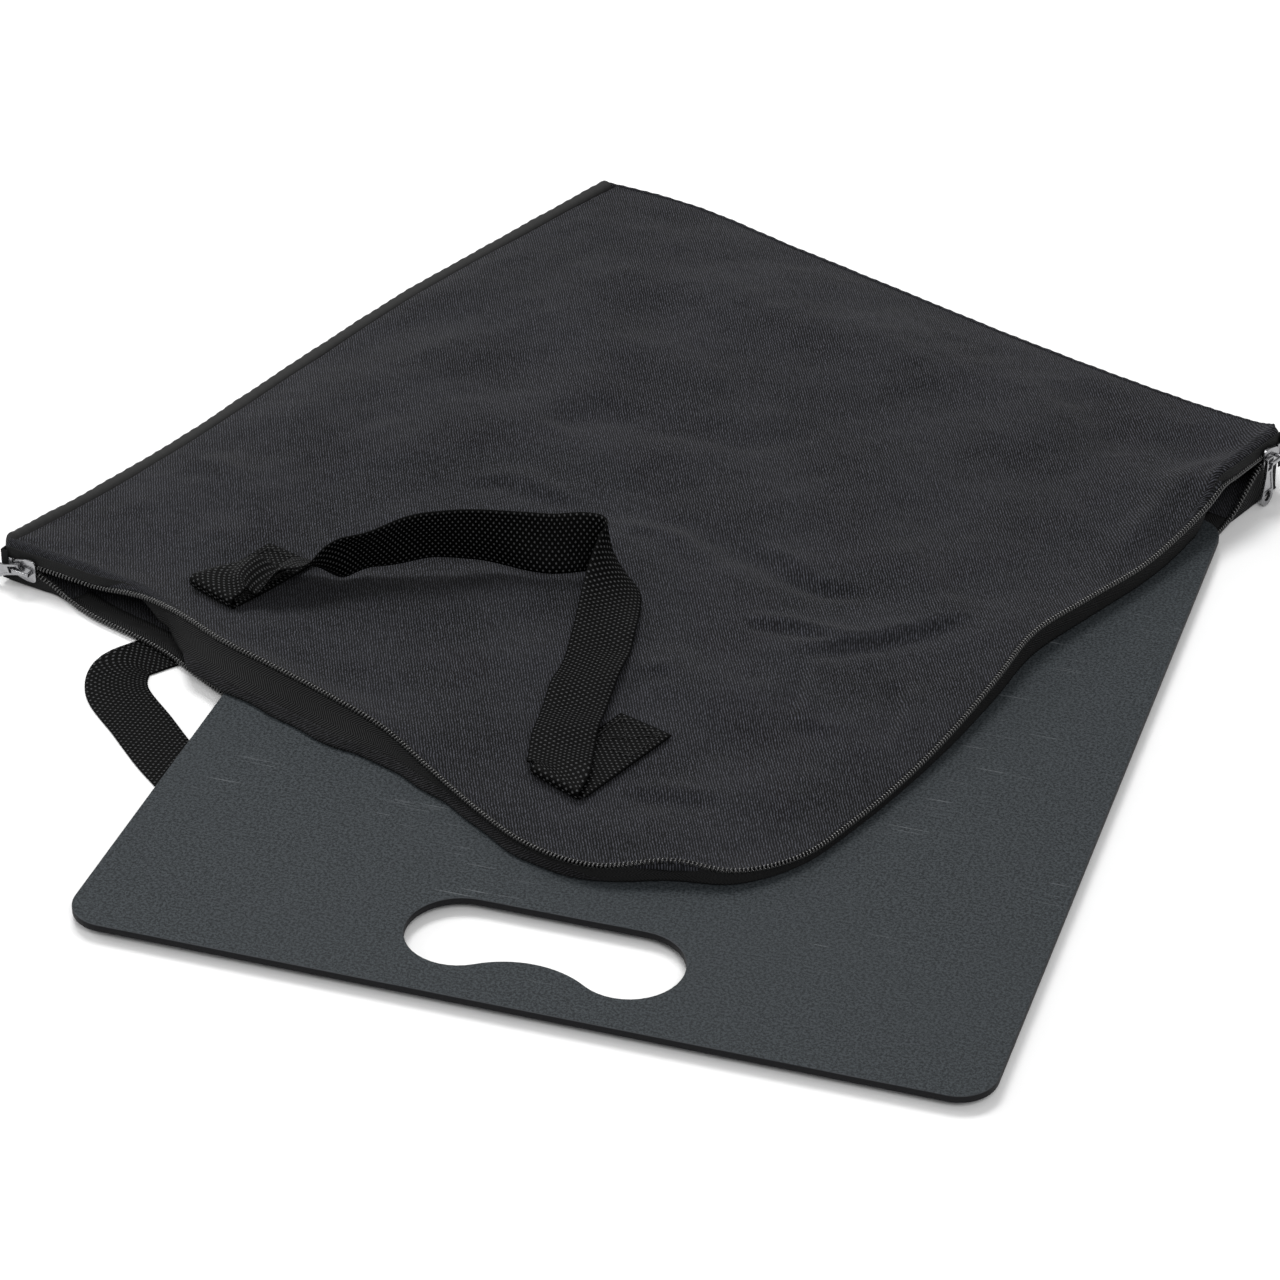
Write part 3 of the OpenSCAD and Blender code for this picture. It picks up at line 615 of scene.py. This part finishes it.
LEFT_CORNER = lip_edge(np.array([0.0]))[0]
RIGHT_CORNER = lip_edge(np.array([float(LIP_END)]))[0]
LEFT_EDGE = [tuple(LEFT_CORNER)] + LEFT_SEAM + [BACK_CORNER]
BACK_EDGE = [BACK_CORNER] + BACK_LINE + [tuple(RIGHT_CORNER)]


def fade(x):
    """1 at an edge, and 0 from a fifth of the panel away from it."""
    return np.clip(1 - np.asarray(x) / 0.2, 0, 1) ** 2


def patch(s, t, left, right, front, back, middle_z):
    """Sheet between four edges, flat at middle_z away from them."""
    s = s[..., None]
    t = t[..., None]
    a, b, c, d = front[0, 0], front[0, -1], back[0, 0], back[0, -1]
    plan = ((1 - s) * left + s * right + (1 - t) * front + t * back
            - (1 - s) * (1 - t) * a - s * (1 - t) * b - (1 - s) * t * c - s * t * d)
    fa, fb, fc, fd = fade(s), fade(1 - s), fade(t), fade(1 - t)
    o = middle_z
    z = (o + (left[..., 2:] - o) * fa + (right[..., 2:] - o) * fb + (front[..., 2:] - o) * fc
         + (back[..., 2:] - o) * fd - (a[2] - o) * fa * fc - (b[2] - o) * fb * fc
         - (c[2] - o) * fa * fd - (d[2] - o) * fb * fd)
    return np.concatenate([plan[..., :2], z], axis=-1)


def panel_points(s, t):
    """Smooth middle surface of the top panel on the grid s by t, as an array t, s, 3."""
    ss, tt = np.meshgrid(s, t)
    left = along(LEFT_EDGE, tt * (len(LEFT_EDGE) - 1))
    right = lip_edge(LIP_CORNER + tt * (LIP_END - LIP_CORNER))
    front = lip_edge(ss * LIP_CORNER)
    back = along(BACK_EDGE, ss * (len(BACK_EDGE) - 1))
    return patch(ss, tt, left, right, front, back, PANEL_Z)


def fold_height(x, y):
    """Height that the soft folds add at places of the bag."""
    total = np.zeros(x.shape)
    for route, height, width, kind in FOLDS:
        p = along(route, np.linspace(0, len(route) - 1, 40))
        nearest = np.full(x.shape, 1e9)
        side = np.zeros(x.shape)
        share = np.zeros(x.shape)
        for k in range(len(p) - 1):
            a, b = p[k], p[k + 1]
            ab = b - a
            f = np.clip(((x - a[0]) * ab[0] + (y - a[1]) * ab[1]) / (ab @ ab), 0, 1)
            dx, dy = x - a[0] - f * ab[0], y - a[1] - f * ab[1]
            distance = np.hypot(dx, dy)
            closer = distance < nearest
            nearest = np.where(closer, distance, nearest)
            side = np.where(closer, ab[0] * dy - ab[1] * dx, side)
            share = np.where(closer, (k + f) / (len(p) - 1), share)
        ends = FOLD_GAIN * ramp(share, 0, 0.3) * ramp(1 - share, 0, 0.3)
        shape = np.exp(-(nearest / width) ** 2)
        if kind == "step":
            narrow = nearest / (0.7 * width)
            shape = np.sign(side) * 1.6 * narrow * np.exp(-narrow**1.3)
        total += height * ends * shape
    return total


def away_from_handle(x, y):
    """0 where the top handle lies on the cloth and presses it flat, 1 away from it."""
    nearest = np.full(x.shape, 1e9)
    flat = [q for q in along(TOP_LOOP, np.linspace(0, len(TOP_LOOP) - 1, 90)) if q[2] < 23.5]
    sewn = [(x0, y0, 0, 0) for x0, near, far in zip(TOP_END_X, TOP_END_NEAR_Y, TOP_END_FAR_Y)
            for y0 in np.linspace(near, far, 7)]
    for q in flat + sewn:
        nearest = np.minimum(nearest, np.hypot(x - q[0], y - q[1]))
    return 0.12 + 0.88 * ramp(nearest, WEB_W / 2, WEB_W / 2 + 16)


def seam_dip(distance, y):
    """Puckered groove where the panel is sewn, at a distance from the left seam."""
    gather = 0.6 * np.sin(y * math.tau / GATHER_PITCH) + wavy(y, 0 * y, 7, 9, 32, 8)
    return (-2.3 * np.exp(-((distance - 5.0 - 0.6 * gather) / 1.7) ** 2)
            + 0.4 * gather * np.exp(-distance / 9) * ramp(distance, 2, 5))


def add_panel(name, p, thickness):
    """A cloth panel from a grid of points, with its weave square to the bag."""
    rows, columns = p.shape[:2]
    lay = p * [1, 1, 0]
    cloth = add_piece(name, in_bag(p).reshape(-1, 3), grid_faces(rows, columns), CLOTH, "bag",
                      lay.reshape(-1, 3))
    return thicken(cloth, thickness)


def make_top_cloth():
    """Upper panel: soft folds, edges that roll down to the zip, and a little crumple."""
    s = np.concatenate([np.linspace(0, 0.04, 26)[:-1], np.linspace(0.04, 1, 225)])
    t = np.linspace(0, 1, 300)
    p = panel_points(s, t)
    ss, tt = np.meshgrid(s, t)
    inside = ramp(np.minimum.reduce([ss, 1 - ss, tt, 1 - tt]), 0.0, 0.07)
    rise = fold_height(p[..., 0], p[..., 1])
    rise += 1.5 * wavy(p[..., 0], p[..., 1], 14, 45, 120, 3)
    rise += 0.28 * wavy(p[..., 0], p[..., 1], 18, 10, 24, 4)
    rise *= away_from_handle(p[..., 0], p[..., 1])
    p[..., 2] += inside * rise + seam_dip(ss * 400, p[..., 1])
    cloth = add_panel("top_cloth", p, CLOTH_T)
    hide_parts("bag_top_panel")
    return cloth


def make_facing(name, start, end):
    """Cloth that rolls over from the panel's raised edge down to the coil, near a slider."""
    places, lengths = even_places(UPPER_LIP, 1.2, start, end)
    top = lip_edge(places)
    right = directions(UPPER_LIP, places)[1]
    bottom = along(UPPER_LIP, places) + 0.6 * UP - 0.9 * right
    across = np.sum((bottom - top) * right, axis=1)[:, None] * right
    down = (bottom - top)[:, 2:] * UP
    pucker = 0.25 * wavy(lengths, 0 * lengths, 8, 5, 16, 31)[:, None]
    rows = []
    lay = []
    for angle in np.radians(np.linspace(0, 90, 12)):
        share = math.sin(angle)
        row = top + share * across + (1 - math.cos(angle)) * down + pucker * share**2 * UP
        rows.append(row)
        lay.append(np.stack([row[:, 0], row[:, 1] - 8 * share, 0 * lengths], axis=-1))
    points = in_bag(np.array(rows)).reshape(-1, 3)
    faces = grid_faces(len(rows), len(places))
    facing = add_piece(name, points, faces, CLOTH, "bag", np.array(lay).reshape(-1, 3))
    return thicken(facing, CLOTH_T, 0.0)


def handle_rise(x, y):
    """How far the bottom cloth is lifted over the webbing beneath it."""
    route = along(BOTTOM_LOOP, np.linspace(0, len(BOTTOM_LOOP) - 1, 120))
    nearest = np.full(x.shape, 1e9)
    for point in route:
        nearest = np.minimum(nearest, np.hypot(x - point[0], y - point[1]))
    rise = 1 - ramp(nearest, WEB_W / 2 + 3, WEB_W / 2 + 7)
    for middle in HANDLE_X:
        dx = np.maximum(np.abs(x - middle) - WEB_W / 2 - 3, 0)
        dy = np.maximum(np.maximum(END_NEAR_Y - 4 - y, y - END_FAR_Y - 3), 0)
        rise = np.maximum(rise, 1 - ramp(np.hypot(dx, dy), 0, 3.5))
    return rise


def base_inset(x):
    """How far the bottom cloth stops short of the lower coil."""
    edge = np.maximum(np.clip((5.5 - x) / 1.5, 0, 1), np.clip((x - 20.5) / 1.5, 0, 1))
    return 3.0 - 2.6 * edge


def lower_edge(x):
    """Edge of the bottom cloth beside the lower coil."""
    p = along(LOWER_LIP, x).copy()
    right = directions(LOWER_LIP, x)[1]
    p = p - base_inset(x)[..., None] * right
    p[..., 2] = BOTTOM_Z
    return p


def make_bottom_cloth():
    """Lower panel, flat on the ground and lifted where the handle lies under it."""
    ss, tt = np.meshgrid(np.linspace(0, 1, 150), np.linspace(0, 1, 160))
    end = len(LOWER_LIP) - 1
    left = along(LEFT_EDGE, tt * (len(LEFT_EDGE) - 1)) + np.array([0.4, 0, 0])
    right = lower_edge(LOWER_CORNER + tt * (end - LOWER_CORNER))
    front = lower_edge(ss * LOWER_CORNER)
    back = along(BACK_EDGE, ss * (len(BACK_EDGE) - 1)) - np.array([0, 0.5, 0])
    for edge in (left, back):
        edge[..., 2] = BOTTOM_Z
    p = patch(ss, tt, left, right, front, back, BOTTOM_Z)
    p[..., 2] = 0.75 + 1.15 * handle_rise(p[..., 0], p[..., 1])
    cloth = add_panel("bottom_cloth", p, BOTTOM_CLOTH_T)
    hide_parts("bag_bottom_panel")
    return cloth


def squared(share):
    """A sine or cosine pushed outwards, which turns a round section a little square."""
    return math.copysign(abs(share) ** 0.8, share)


def seam_roll(edge, ends, half_width, outwards, rise, seed):
    """Points, faces and lay of a turned cloth edge: a puckered roll, tall where the side is.

    rise is added to the side's height, and outwards moves the roll away from the bag.
    """
    places, lengths = even_places(edge, 1.6, *ends)
    p = along(edge, places)
    right = directions(edge, places)[1]
    middle = (p[:, 2] + rise) / 2
    pucker = 0.34 * np.sin(lengths * math.tau / GATHER_PITCH)
    pucker = pucker + 0.25 * wavy(lengths, 0 * lengths, 6, 14, 40, seed)
    angles = np.linspace(0, math.tau, SEAM_SIDES + 1)[:-1]
    sections = []
    for i in range(len(places)):
        half = half_width + pucker[i] * 0.6
        height = max(middle[i] - 0.15 + pucker[i] * 0.3, 1.0)
        centre = np.array([p[i, 0], p[i, 1], middle[i]]) - outwards * right[i]
        sections.append([centre + half * squared(math.cos(a)) * right[i]
                         + height * squared(math.sin(a)) * UP for a in angles])
    return *swept(in_bag(sections)), tube_lay(lengths, angles * 3)


def make_left_binding():
    """Smooth narrow band along the left side, where both panels are turned and stitched."""
    points, faces, lay = seam_roll(LEFT_EDGE, (0.06, len(LEFT_EDGE) - 1.02), half_width=3.4,
                                   outwards=-0.2, rise=2.4, seed=5)
    binding = add_piece("left_binding", points, faces, BINDING, "bag", lay)
    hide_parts("left_seam_binding")


def make_back_fold():
    """Fold along the back, in the panels' own cloth."""
    points, faces, lay = seam_roll(BACK_EDGE, (0.0, len(BACK_EDGE) - 1.0), half_width=1.2,
                                   outwards=0.8, rise=0.9, seed=6)
    fold = add_piece("back_fold", points, faces, CLOTH, "bag", lay)
    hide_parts("back_seam")


# ---------- zip ----------


def make_coil(name, route, start, end, node, lift=0.0):
    """A row of teeth: one wire wound along the zip's edge."""
    places, lengths = even_places(route, COIL_PITCH / 9, start, end)
    p = along(route, places)
    forward, right = directions(route, places)
    up = np.cross(right, forward)
    angle = lengths[:, None] * math.tau / COIL_PITCH
    centre = p + lift * UP + COIL_RADIUS * (np.cos(angle) * right + np.sin(angle) * up)
    tangent = unit(np.gradient(centre, axis=0))
    first = unit(np.cross(tangent, forward))
    second = np.cross(tangent, first)
    around = np.linspace(0, math.tau, 7)[:-1]
    sections = np.stack([centre + COIL_WIRE * (math.cos(a) * first + math.sin(a) * second)
                         for a in around], axis=1)
    points, faces = swept(in_bag(sections))
    coil = add_piece(name, points, faces, COIL, "bag")
    if node:
        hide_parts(node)
    return coil


def make_strip(name, route, places, lengths, offsets, node, thickness=TAPE_T):
    """Cloth strip along a route. offsets(place) gives its rows as (sideways, height) pairs."""
    p = along(route, places)
    right = directions(route, places)[1]
    rows = []
    lay = []
    for sideways, height, across in offsets:
        row = p + sideways[:, None] * right
        row[:, 2] = height
        rows.append(row)
        lay.append(np.stack([lengths, np.full(len(places), across), 0 * lengths], axis=-1))
    points = in_bag(np.array(rows)).reshape(-1, 3)
    strip = add_piece(name, points, grid_faces(len(rows), len(places)), TAPE, "bag",
                      np.array(lay).reshape(-1, 3))
    thicken(strip, thickness, 0.0)
    if node:
        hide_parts(node)
    return strip


def tape_lean(x):
    """How far the hanging tape slants out at its foot, over the board."""
    return TAPE_LEAN * np.clip((x - 5.6) / 1.2, 0, 1) * np.clip((11.5 - x) / 2, 0, 1)


def tape_foot(z):
    """Height of the hanging tape's foot, below the coil at height z."""
    return np.maximum(TAPE_FOOT_Z, z - TAPE_HANG)


def make_upper_tape():
    """Tape that hangs and slants out from the coil, and rises inside it near the sliders."""
    places, lengths = even_places(UPPER_LIP, 1.5, ZIP_MARGIN, LIP_END - ZIP_MARGIN)
    z = along(UPPER_LIP, places)[:, 2]
    q = near_slider(places)
    over = np.clip(2 - 3 * q, 0, 1)
    passing = -(COIL_RADIUS + COIL_WIRE + 0.35) * np.clip(4 * np.minimum(q, 1 - q), 0, 1)
    foot = tape_foot(z)
    low = (1 - over) * (z + 1.0) + over * foot
    high = (1 - over) * (z + NOSE_H * q - 0.6) + over * (z - 0.7)
    lean = tape_lean(places)
    ripple = 0.8 * wavy(lengths, 0 * lengths, 6, 25, 70, 9) * (lean / TAPE_LEAN)
    offsets = []
    for f in np.linspace(0, 1, 9):
        out = passing + (lean + ripple) * f**1.15
        offsets.append((out, high + (low - high) * f, f * 14))
    return make_strip("upper_tape", UPPER_LIP, places, lengths, offsets, "upper_zip_tape")


def make_tape_hem():
    """Doubled cloth edge that sticks out beyond the hanging tape, on the board."""
    places, lengths = even_places(UPPER_LIP, 1.5, *HEM_ENDS)
    z = along(UPPER_LIP, places)[:, 2]
    foot = tape_foot(z)
    lean = tape_lean(places)
    wander = 0.7 * wavy(lengths, 0 * lengths, 7, 18, 60, 10)
    ends = ramp(places, HEM_ENDS[0], HEM_ENDS[0] + 0.8) * ramp(HEM_ENDS[1] - places, 0, 1)
    offsets = []
    for f in np.linspace(0, 1, 5):
        out = lean * 0.8 - 0.2 + (lean * 0.2 + 2.6 + wander) * f * ends
        offsets.append((out, foot + (1 - f) * 2.4 * ends + 0.25, 14 + 4 * f))
    strip = make_strip("tape_hem", UPPER_LIP, places, lengths, offsets, None, 0.8)
    # Painted shade: the hem gets the darker copy of the bag cloth.
    strip.data.materials[0] = SHADED_HEM_CLOTH
    return strip


def make_lower_tape():
    """Tape that lies flat inside the lower coil."""
    places, lengths = even_places(LOWER_LIP, 2.0, LEAD_ENDS[0], LEAD_ENDS[1])
    offsets = [(np.full(len(places), -0.4 - 11 * f), np.full(len(places), 1.9 - 0.1 * f), 12 * f)
               for f in np.linspace(0, 1, 6)]
    return make_strip("lower_tape", LOWER_LIP, places, lengths, offsets, "lower_zip_tape", 0.35)


def make_lead(name, start, end, node):
    """The lower half's end, where coil and tape climb into a slider."""
    coil = make_coil(name + "_coil", LOWER_LIP, start, end, node)
    places, lengths = even_places(LOWER_LIP, 1.0, start, end)
    z = along(LOWER_LIP, places)[:, 2]
    offsets = [(np.full(len(places), -0.5 * math.sin(math.pi * f)), z - 0.8 + (1.0 - z + 0.8) * f,
                9 * f) for f in np.linspace(0, 1, 7)]
    return [coil, make_strip(name + "_tape", LOWER_LIP, places, lengths, offsets, None)]


# ---------- handles ----------


def ribbon_sections(p, across, face, thickness):
    """Sections of webbing with thin rounded edges, and how far across each of their points is."""
    flat = np.linspace(-1, 1, 19)
    edge = 0.5 * thickness * (1 - 0.55 * np.abs(flat) ** 14)
    side = np.concatenate([flat, flat[::-1]]) * WEB_W / 2
    out = np.concatenate([edge, -edge[::-1]])
    return np.stack([p + f * across + e * face for f, e in zip(side, out)], axis=1), side


def webbing_piece(name, sections, lengths, side, body, node=None):
    """A piece of webbing, with its weave laid along its length."""
    points, faces = swept(in_bag(sections))
    piece = add_piece(name, points, faces, WEBBING, body, tube_lay(lengths, side))
    if node:
        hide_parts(node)


def curl(end, low_z, side, high, low):
    """Webbing folded over towards the front, down to low_z, between two angles of the fold."""
    radius = (end[2] - low_z) / 2
    angles = np.radians(np.linspace(high, low, 7))
    outward = np.stack([0 * angles, -np.cos(angles), np.sin(angles)], axis=-1)
    centres = np.array([end[0], end[1], low_z + radius]) + radius * outward
    across = np.tile(side * FOLD_LINE, (len(angles), 1))
    return centres, across, outward


def buckles(lengths, bumps):
    """Sum of bumps, each given as (place, width, height)."""
    return sum(height * np.exp(-((lengths - place) / width) ** 2)
               for place, width, height in bumps)


def crumple(lengths, side):
    """Buckles of the top handle, where its webbing turns sideways and along its leg."""
    near = lengths[:, None] + 0.55 * side[None, :]
    far = lengths[-1] - lengths[:, None] + 0.4 * side[None, :]
    total = buckles(near, ARCH_BUCKLES)
    total = total + buckles(far, LEG_BUCKLES)
    total = total + 0.5 * wavy(near, side[None, :] + 0 * near, 7, 18, 50, 21)
    fixed = ramp(lengths, 0, 9) * ramp(lengths[-1] - lengths, 0, 9)
    return total * fixed[:, None]


def loop_lines(route, step):
    """Centres, directions forward and across, and distances, along a route with tilts."""
    places, lengths = even_places(route, step)
    q = along(route, places)
    forward, right = directions(route, places, 0.05)
    tilt = np.radians(q[:, 3])[:, None]
    return q[:, :3], forward, np.cos(tilt) * right + np.sin(tilt) * UP, lengths


def make_top_loop(left_low, right_low):
    """Handle's loop, with the upper half of the fold at each of its ends."""
    p, forward, across, lengths = loop_lines(TOP_LOOP, 1.2)
    near_start = 1 - ramp(lengths, 0, FOLD_REACH)[:, None]
    near_end = 1 - ramp(lengths[-1] - lengths, 0, FOLD_REACH)[:, None]
    across = across * (1 - near_start - near_end)
    across = unit(across + (near_start - near_end) * FOLD_LINE)
    face = unit(np.cross(across, forward))
    start = curl(p[0], left_low, 1.0, 75, 0)
    end = curl(p[-1], right_low, -1.0, 75, 0)
    p = np.concatenate([start[0][::-1], p, end[0]])
    across = np.concatenate([start[1], across, end[1]])
    face = np.concatenate([start[2][::-1], face, end[2]])
    sections, side = ribbon_sections(p, across, face, WEB_T)
    extra = len(start[0])
    bow = np.zeros(sections.shape[:2])
    bow[extra:-extra] = crumple(lengths, side)
    sections = sections + bow[..., None] * face[:, None, :]
    webbing_piece("top_webbing_loop", sections, distances(p), side, "top_handle", "top_handle_loop")


def make_bottom_loop():
    """Handle's loop that lies flat under the bag."""
    p, forward, across, _ = loop_lines(BOTTOM_LOOP, 2.5)
    across = unit(across)
    sections, side = ribbon_sections(p, across, unit(np.cross(across, forward)), BOTTOM_WEB_T)
    webbing_piece("bottom_webbing_loop", sections, distances(p), side, "bottom_handle",
                  "bottom_handle_loop")


def make_fold(name, end, low_z):
    """Lower half of the fold at a sewn end, which stays on the bag when the loop is lifted."""
    centres, across, outward = curl(np.array(end[:3]), low_z, 1.0, 0, -90)
    sections, side = ribbon_sections(centres, across, outward, WEB_T)
    lengths = np.linspace(0, math.pi / 4 * (end[2] - low_z), len(centres))
    webbing_piece(name, sections[::-1], lengths, side, "bag")


def height_table():
    """Smooth heights of the panel over the front of the bag, for the sewn ends."""
    s = np.linspace(0, 1, 160)
    t = np.linspace(0, 0.4, 80)
    return panel_points(s, t).reshape(-1, 3)


PANEL_TABLE = height_table()


def height_at(x, y):
    """Height of the panel at places near its front, from its nearest points."""
    x = np.asarray(x, float)
    y = np.asarray(y, float)
    out = np.empty(x.shape)
    for i in range(x.size):
        d = (PANEL_TABLE[:, 0] - x.flat[i]) ** 2 + (PANEL_TABLE[:, 1] - y.flat[i]) ** 2
        nearest = np.argsort(d)[:6]
        weight = 1 / (d[nearest] + 0.05)
        out.flat[i] = (PANEL_TABLE[nearest, 2] * weight).sum() / weight.sum()
    return out


def top_end_heights(i):
    """Middle heights along a top sewn end, from its front to its back, and their places."""
    y = np.linspace(TOP_END_NEAR_Y[i], TOP_END_FAR_Y[i], 34)
    x = TOP_END_X[i]
    z = np.array([height_at(np.linspace(x - 10, x + 10, 5), np.full(5, v)).max() for v in y])
    z = np.convolve(np.pad(z + 1.3, 4, mode="edge"), np.ones(9) / 9, mode="valid")
    return y, z


def make_sewn_end(name, x, y, z, thickness, node):
    """Flat end of a handle, from its front to its back."""
    p = np.stack([np.full(len(y), float(x)), y, z], axis=-1)
    forward = unit(np.gradient(p, axis=0))
    across = np.tile([1.0, 0, 0], (len(y), 1))
    sections, side = ribbon_sections(p, across, np.cross(across, forward), thickness)
    webbing_piece(name, sections, y - y[0], side, "bag", node)


def stitch(p, direction, length, radius):
    """Sections of one short thread, sunk at both ends."""
    sections = []
    side = unit(np.cross(direction, UP))
    for f in np.linspace(-0.5, 0.5, 5):
        centre = p + direction * length * f + UP * (0.28 - 1.1 * f * f)
        sections.append([centre + radius * (math.cos(a) * side + math.sin(a) * UP)
                         for a in np.linspace(0, math.tau, 7)[:-1]])
    return np.array(sections)


def box_stitch_lines(x, half, low, high):
    """Corner pairs of a square with a cross, as sewn on a strap's end."""
    a, b, c, d = (x - half, low), (x + half, low), (x + half, high), (x - half, high)
    return [(a, b), (b, c), (c, d), (d, a), (a, c), (b, d)]


def make_stitching(name, ends, node):
    """Box stitches on handle ends, each given as (middle, back edge, height at y)."""
    points = []
    faces = []
    for x, far_y, height in ends:
        for start, end in box_stitch_lines(x, 9.5, far_y - 22, far_y - 3):
            a = np.array([*start, 0.0])
            b = np.array([*end, 0.0])
            count = int(np.linalg.norm(b - a) / 3.0)
            for k in range(count):
                middle = a + (b - a) * (k + 0.5) / count
                middle[2] = height(middle[1])
                p, f = swept(in_bag(stitch(middle, unit(b - a), 2.3, 0.26)))
                faces += [tuple(i + len(points) for i in face) for face in f]
                points += list(p)
    thread = add_piece(name, points, faces, THREAD, "bag")
    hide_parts(node)


# ---------- metal ----------


def make_softened(node, body, material, bevel):
    """The CAD piece with its edges rounded."""
    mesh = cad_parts[node].data.copy()
    mesh.materials.clear()
    mesh.materials.append(material)
    work = bmesh.new()
    work.from_mesh(mesh)
    bmesh.ops.remove_doubles(work, verts=work.verts, dist=0.00001)
    bmesh.ops.dissolve_limit(work, angle_limit=math.radians(2), verts=work.verts, edges=work.edges)
    work.to_mesh(mesh)
    work.free()
    mesh.polygons.foreach_set("use_smooth", [True] * len(mesh.polygons))
    piece = new_object(node + "_finished", mesh)
    rounding = piece.modifiers.new("rounding", "BEVEL")
    rounding.width = bevel * MM
    rounding.segments = 2
    rounding.limit_method = "ANGLE"
    rounding.angle_limit = math.radians(35)
    rounding.harden_normals = True
    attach(piece, body)
    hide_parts(node)


# ---------- stage ----------


def make_camera():
    """Long lens from the front right, looking down at the object."""
    data = bpy.data.cameras.new("camera")
    data.sensor_width = 36.0
    data.lens = 121.5
    data.clip_end = 20.0
    camera = new_object("camera", data)
    camera.location = (0.4865, -1.4926, 0.9451)
    camera.rotation_euler = (math.radians(90 - 32.7), 0, math.radians(17.97))
    bpy.context.scene.camera = camera


def make_floor():
    """Square floor under the object."""
    size = 6.0
    mesh = bpy.data.meshes.new("floor")
    mesh.from_pydata([(-size, -size, 0), (size, -size, 0), (size, size, 0), (-size, size, 0)], [],
                     [(0, 1, 2, 3)])
    mesh.materials.append(FLOOR)
    new_object("floor", mesh)


def make_light(name, place, target, size, power):
    """Rectangular lamp that points from its place at a target."""
    data = bpy.data.lights.new(name, "AREA")
    data.shape = "RECTANGLE"
    data.size = size[0]
    data.size_y = size[1]
    data.energy = power
    light = new_object(name, data)
    light.location = place
    light.rotation_euler = (Vector(target) - Vector(place)).to_track_quat("-Z", "Y").to_euler()


def make_lights():
    """Three softboxes in a pale studio."""
    make_light("top_softbox", (-0.5, 0.6, 1.8), (0, 0, 0), (1.1, 0.7), 24)
    make_light("side_softbox", (-1.8, -0.2, 0.9), (0, 0, 0), (0.9, 0.7), 11)
    make_light("front_fill", (0.9, -1.7, 1.7), (0, 0, 0), (1.0, 0.8), 24)
    world = bpy.data.worlds.new("studio")
    world.use_nodes = True
    background = world.node_tree.nodes["Background"]
    background.inputs["Color"].default_value = (1, 1, 1, 1)
    background.inputs["Strength"].default_value = 0.4
    bpy.context.scene.world = world
    bpy.context.scene.view_settings.view_transform = "Standard"


# ---------- the object ----------

make_camera()
make_floor()
make_lights()
make_board()
top_cloth = make_top_cloth()
top_trim = [make_facing("left_facing", 0.0, FACING_ENDS[0]),
            make_facing("right_facing", FACING_ENDS[1], float(LIP_END)),
            make_upper_tape(),
            make_tape_hem()]
bottom_cloth = make_bottom_cloth()
bottom_trim = [make_lower_tape()]
bottom_trim += make_lead("left_lead", ZIP_MARGIN, LEAD_ENDS[0], "left_zip_lead")
bottom_trim += make_lead("right_lead", LEAD_ENDS[1], len(LOWER_LIP) - 1.2, "right_zip_lead")
make_left_binding()
make_back_fold()
make_coil("upper_coil", UPPER_LIP, ZIP_MARGIN, LIP_END - ZIP_MARGIN, "upper_zip_coil", 0.4)
make_coil("lower_coil", LOWER_LIP, LEAD_ENDS[0] + 0.05, LEAD_ENDS[1] - 0.05, "lower_zip_coil")
left_y, left_z = top_end_heights(0)
right_y, right_z = top_end_heights(1)
make_top_loop(left_z[0], right_z[0])
make_bottom_loop()
make_sewn_end("top_left_sewn_end", TOP_END_X[0], left_y, left_z, WEB_T, "top_handle_left_end")
make_sewn_end("top_right_sewn_end", TOP_END_X[1], right_y, right_z, WEB_T, "top_handle_right_end")
make_fold("top_left_fold", TOP_LOOP[0], left_z[0])
make_fold("top_right_fold", TOP_LOOP[-1], right_z[0])
for handle_x, side in zip(HANDLE_X, ("left", "right")):
    make_sewn_end("bottom_" + side + "_sewn_end", handle_x, np.linspace(END_NEAR_Y, END_FAR_Y, 30),
                  np.full(30, BOTTOM_WEB_Z), BOTTOM_WEB_T, "bottom_handle_" + side + "_end")
make_stitching("top_box_stitches",
               [(TOP_END_X[0], TOP_END_FAR_Y[0], lambda y: np.interp(y, left_y, left_z) + 0.6),
                (TOP_END_X[1], TOP_END_FAR_Y[1], lambda y: np.interp(y, right_y, right_z) + 0.6)],
               "top_handle_stitching")
make_stitching("bottom_box_stitches", [(x, END_FAR_Y, lambda y: 1.95) for x in HANDLE_X],
               "bottom_handle_stitching")
for side in ("left", "right"):
    make_softened(side + "_slider_body", side + "_slider", METAL, 0.22)
    make_softened(side + "_slider_bridge", side + "_slider", METAL, 0.25)
    make_softened(side + "_pull_tab", side + "_pull", METAL, 0.2)
    make_softened(side + "_zip_stop", "bag", METAL, 0.1)
    make_softened(side + "_zip_tab", "bag", CLOTH, 0.25)
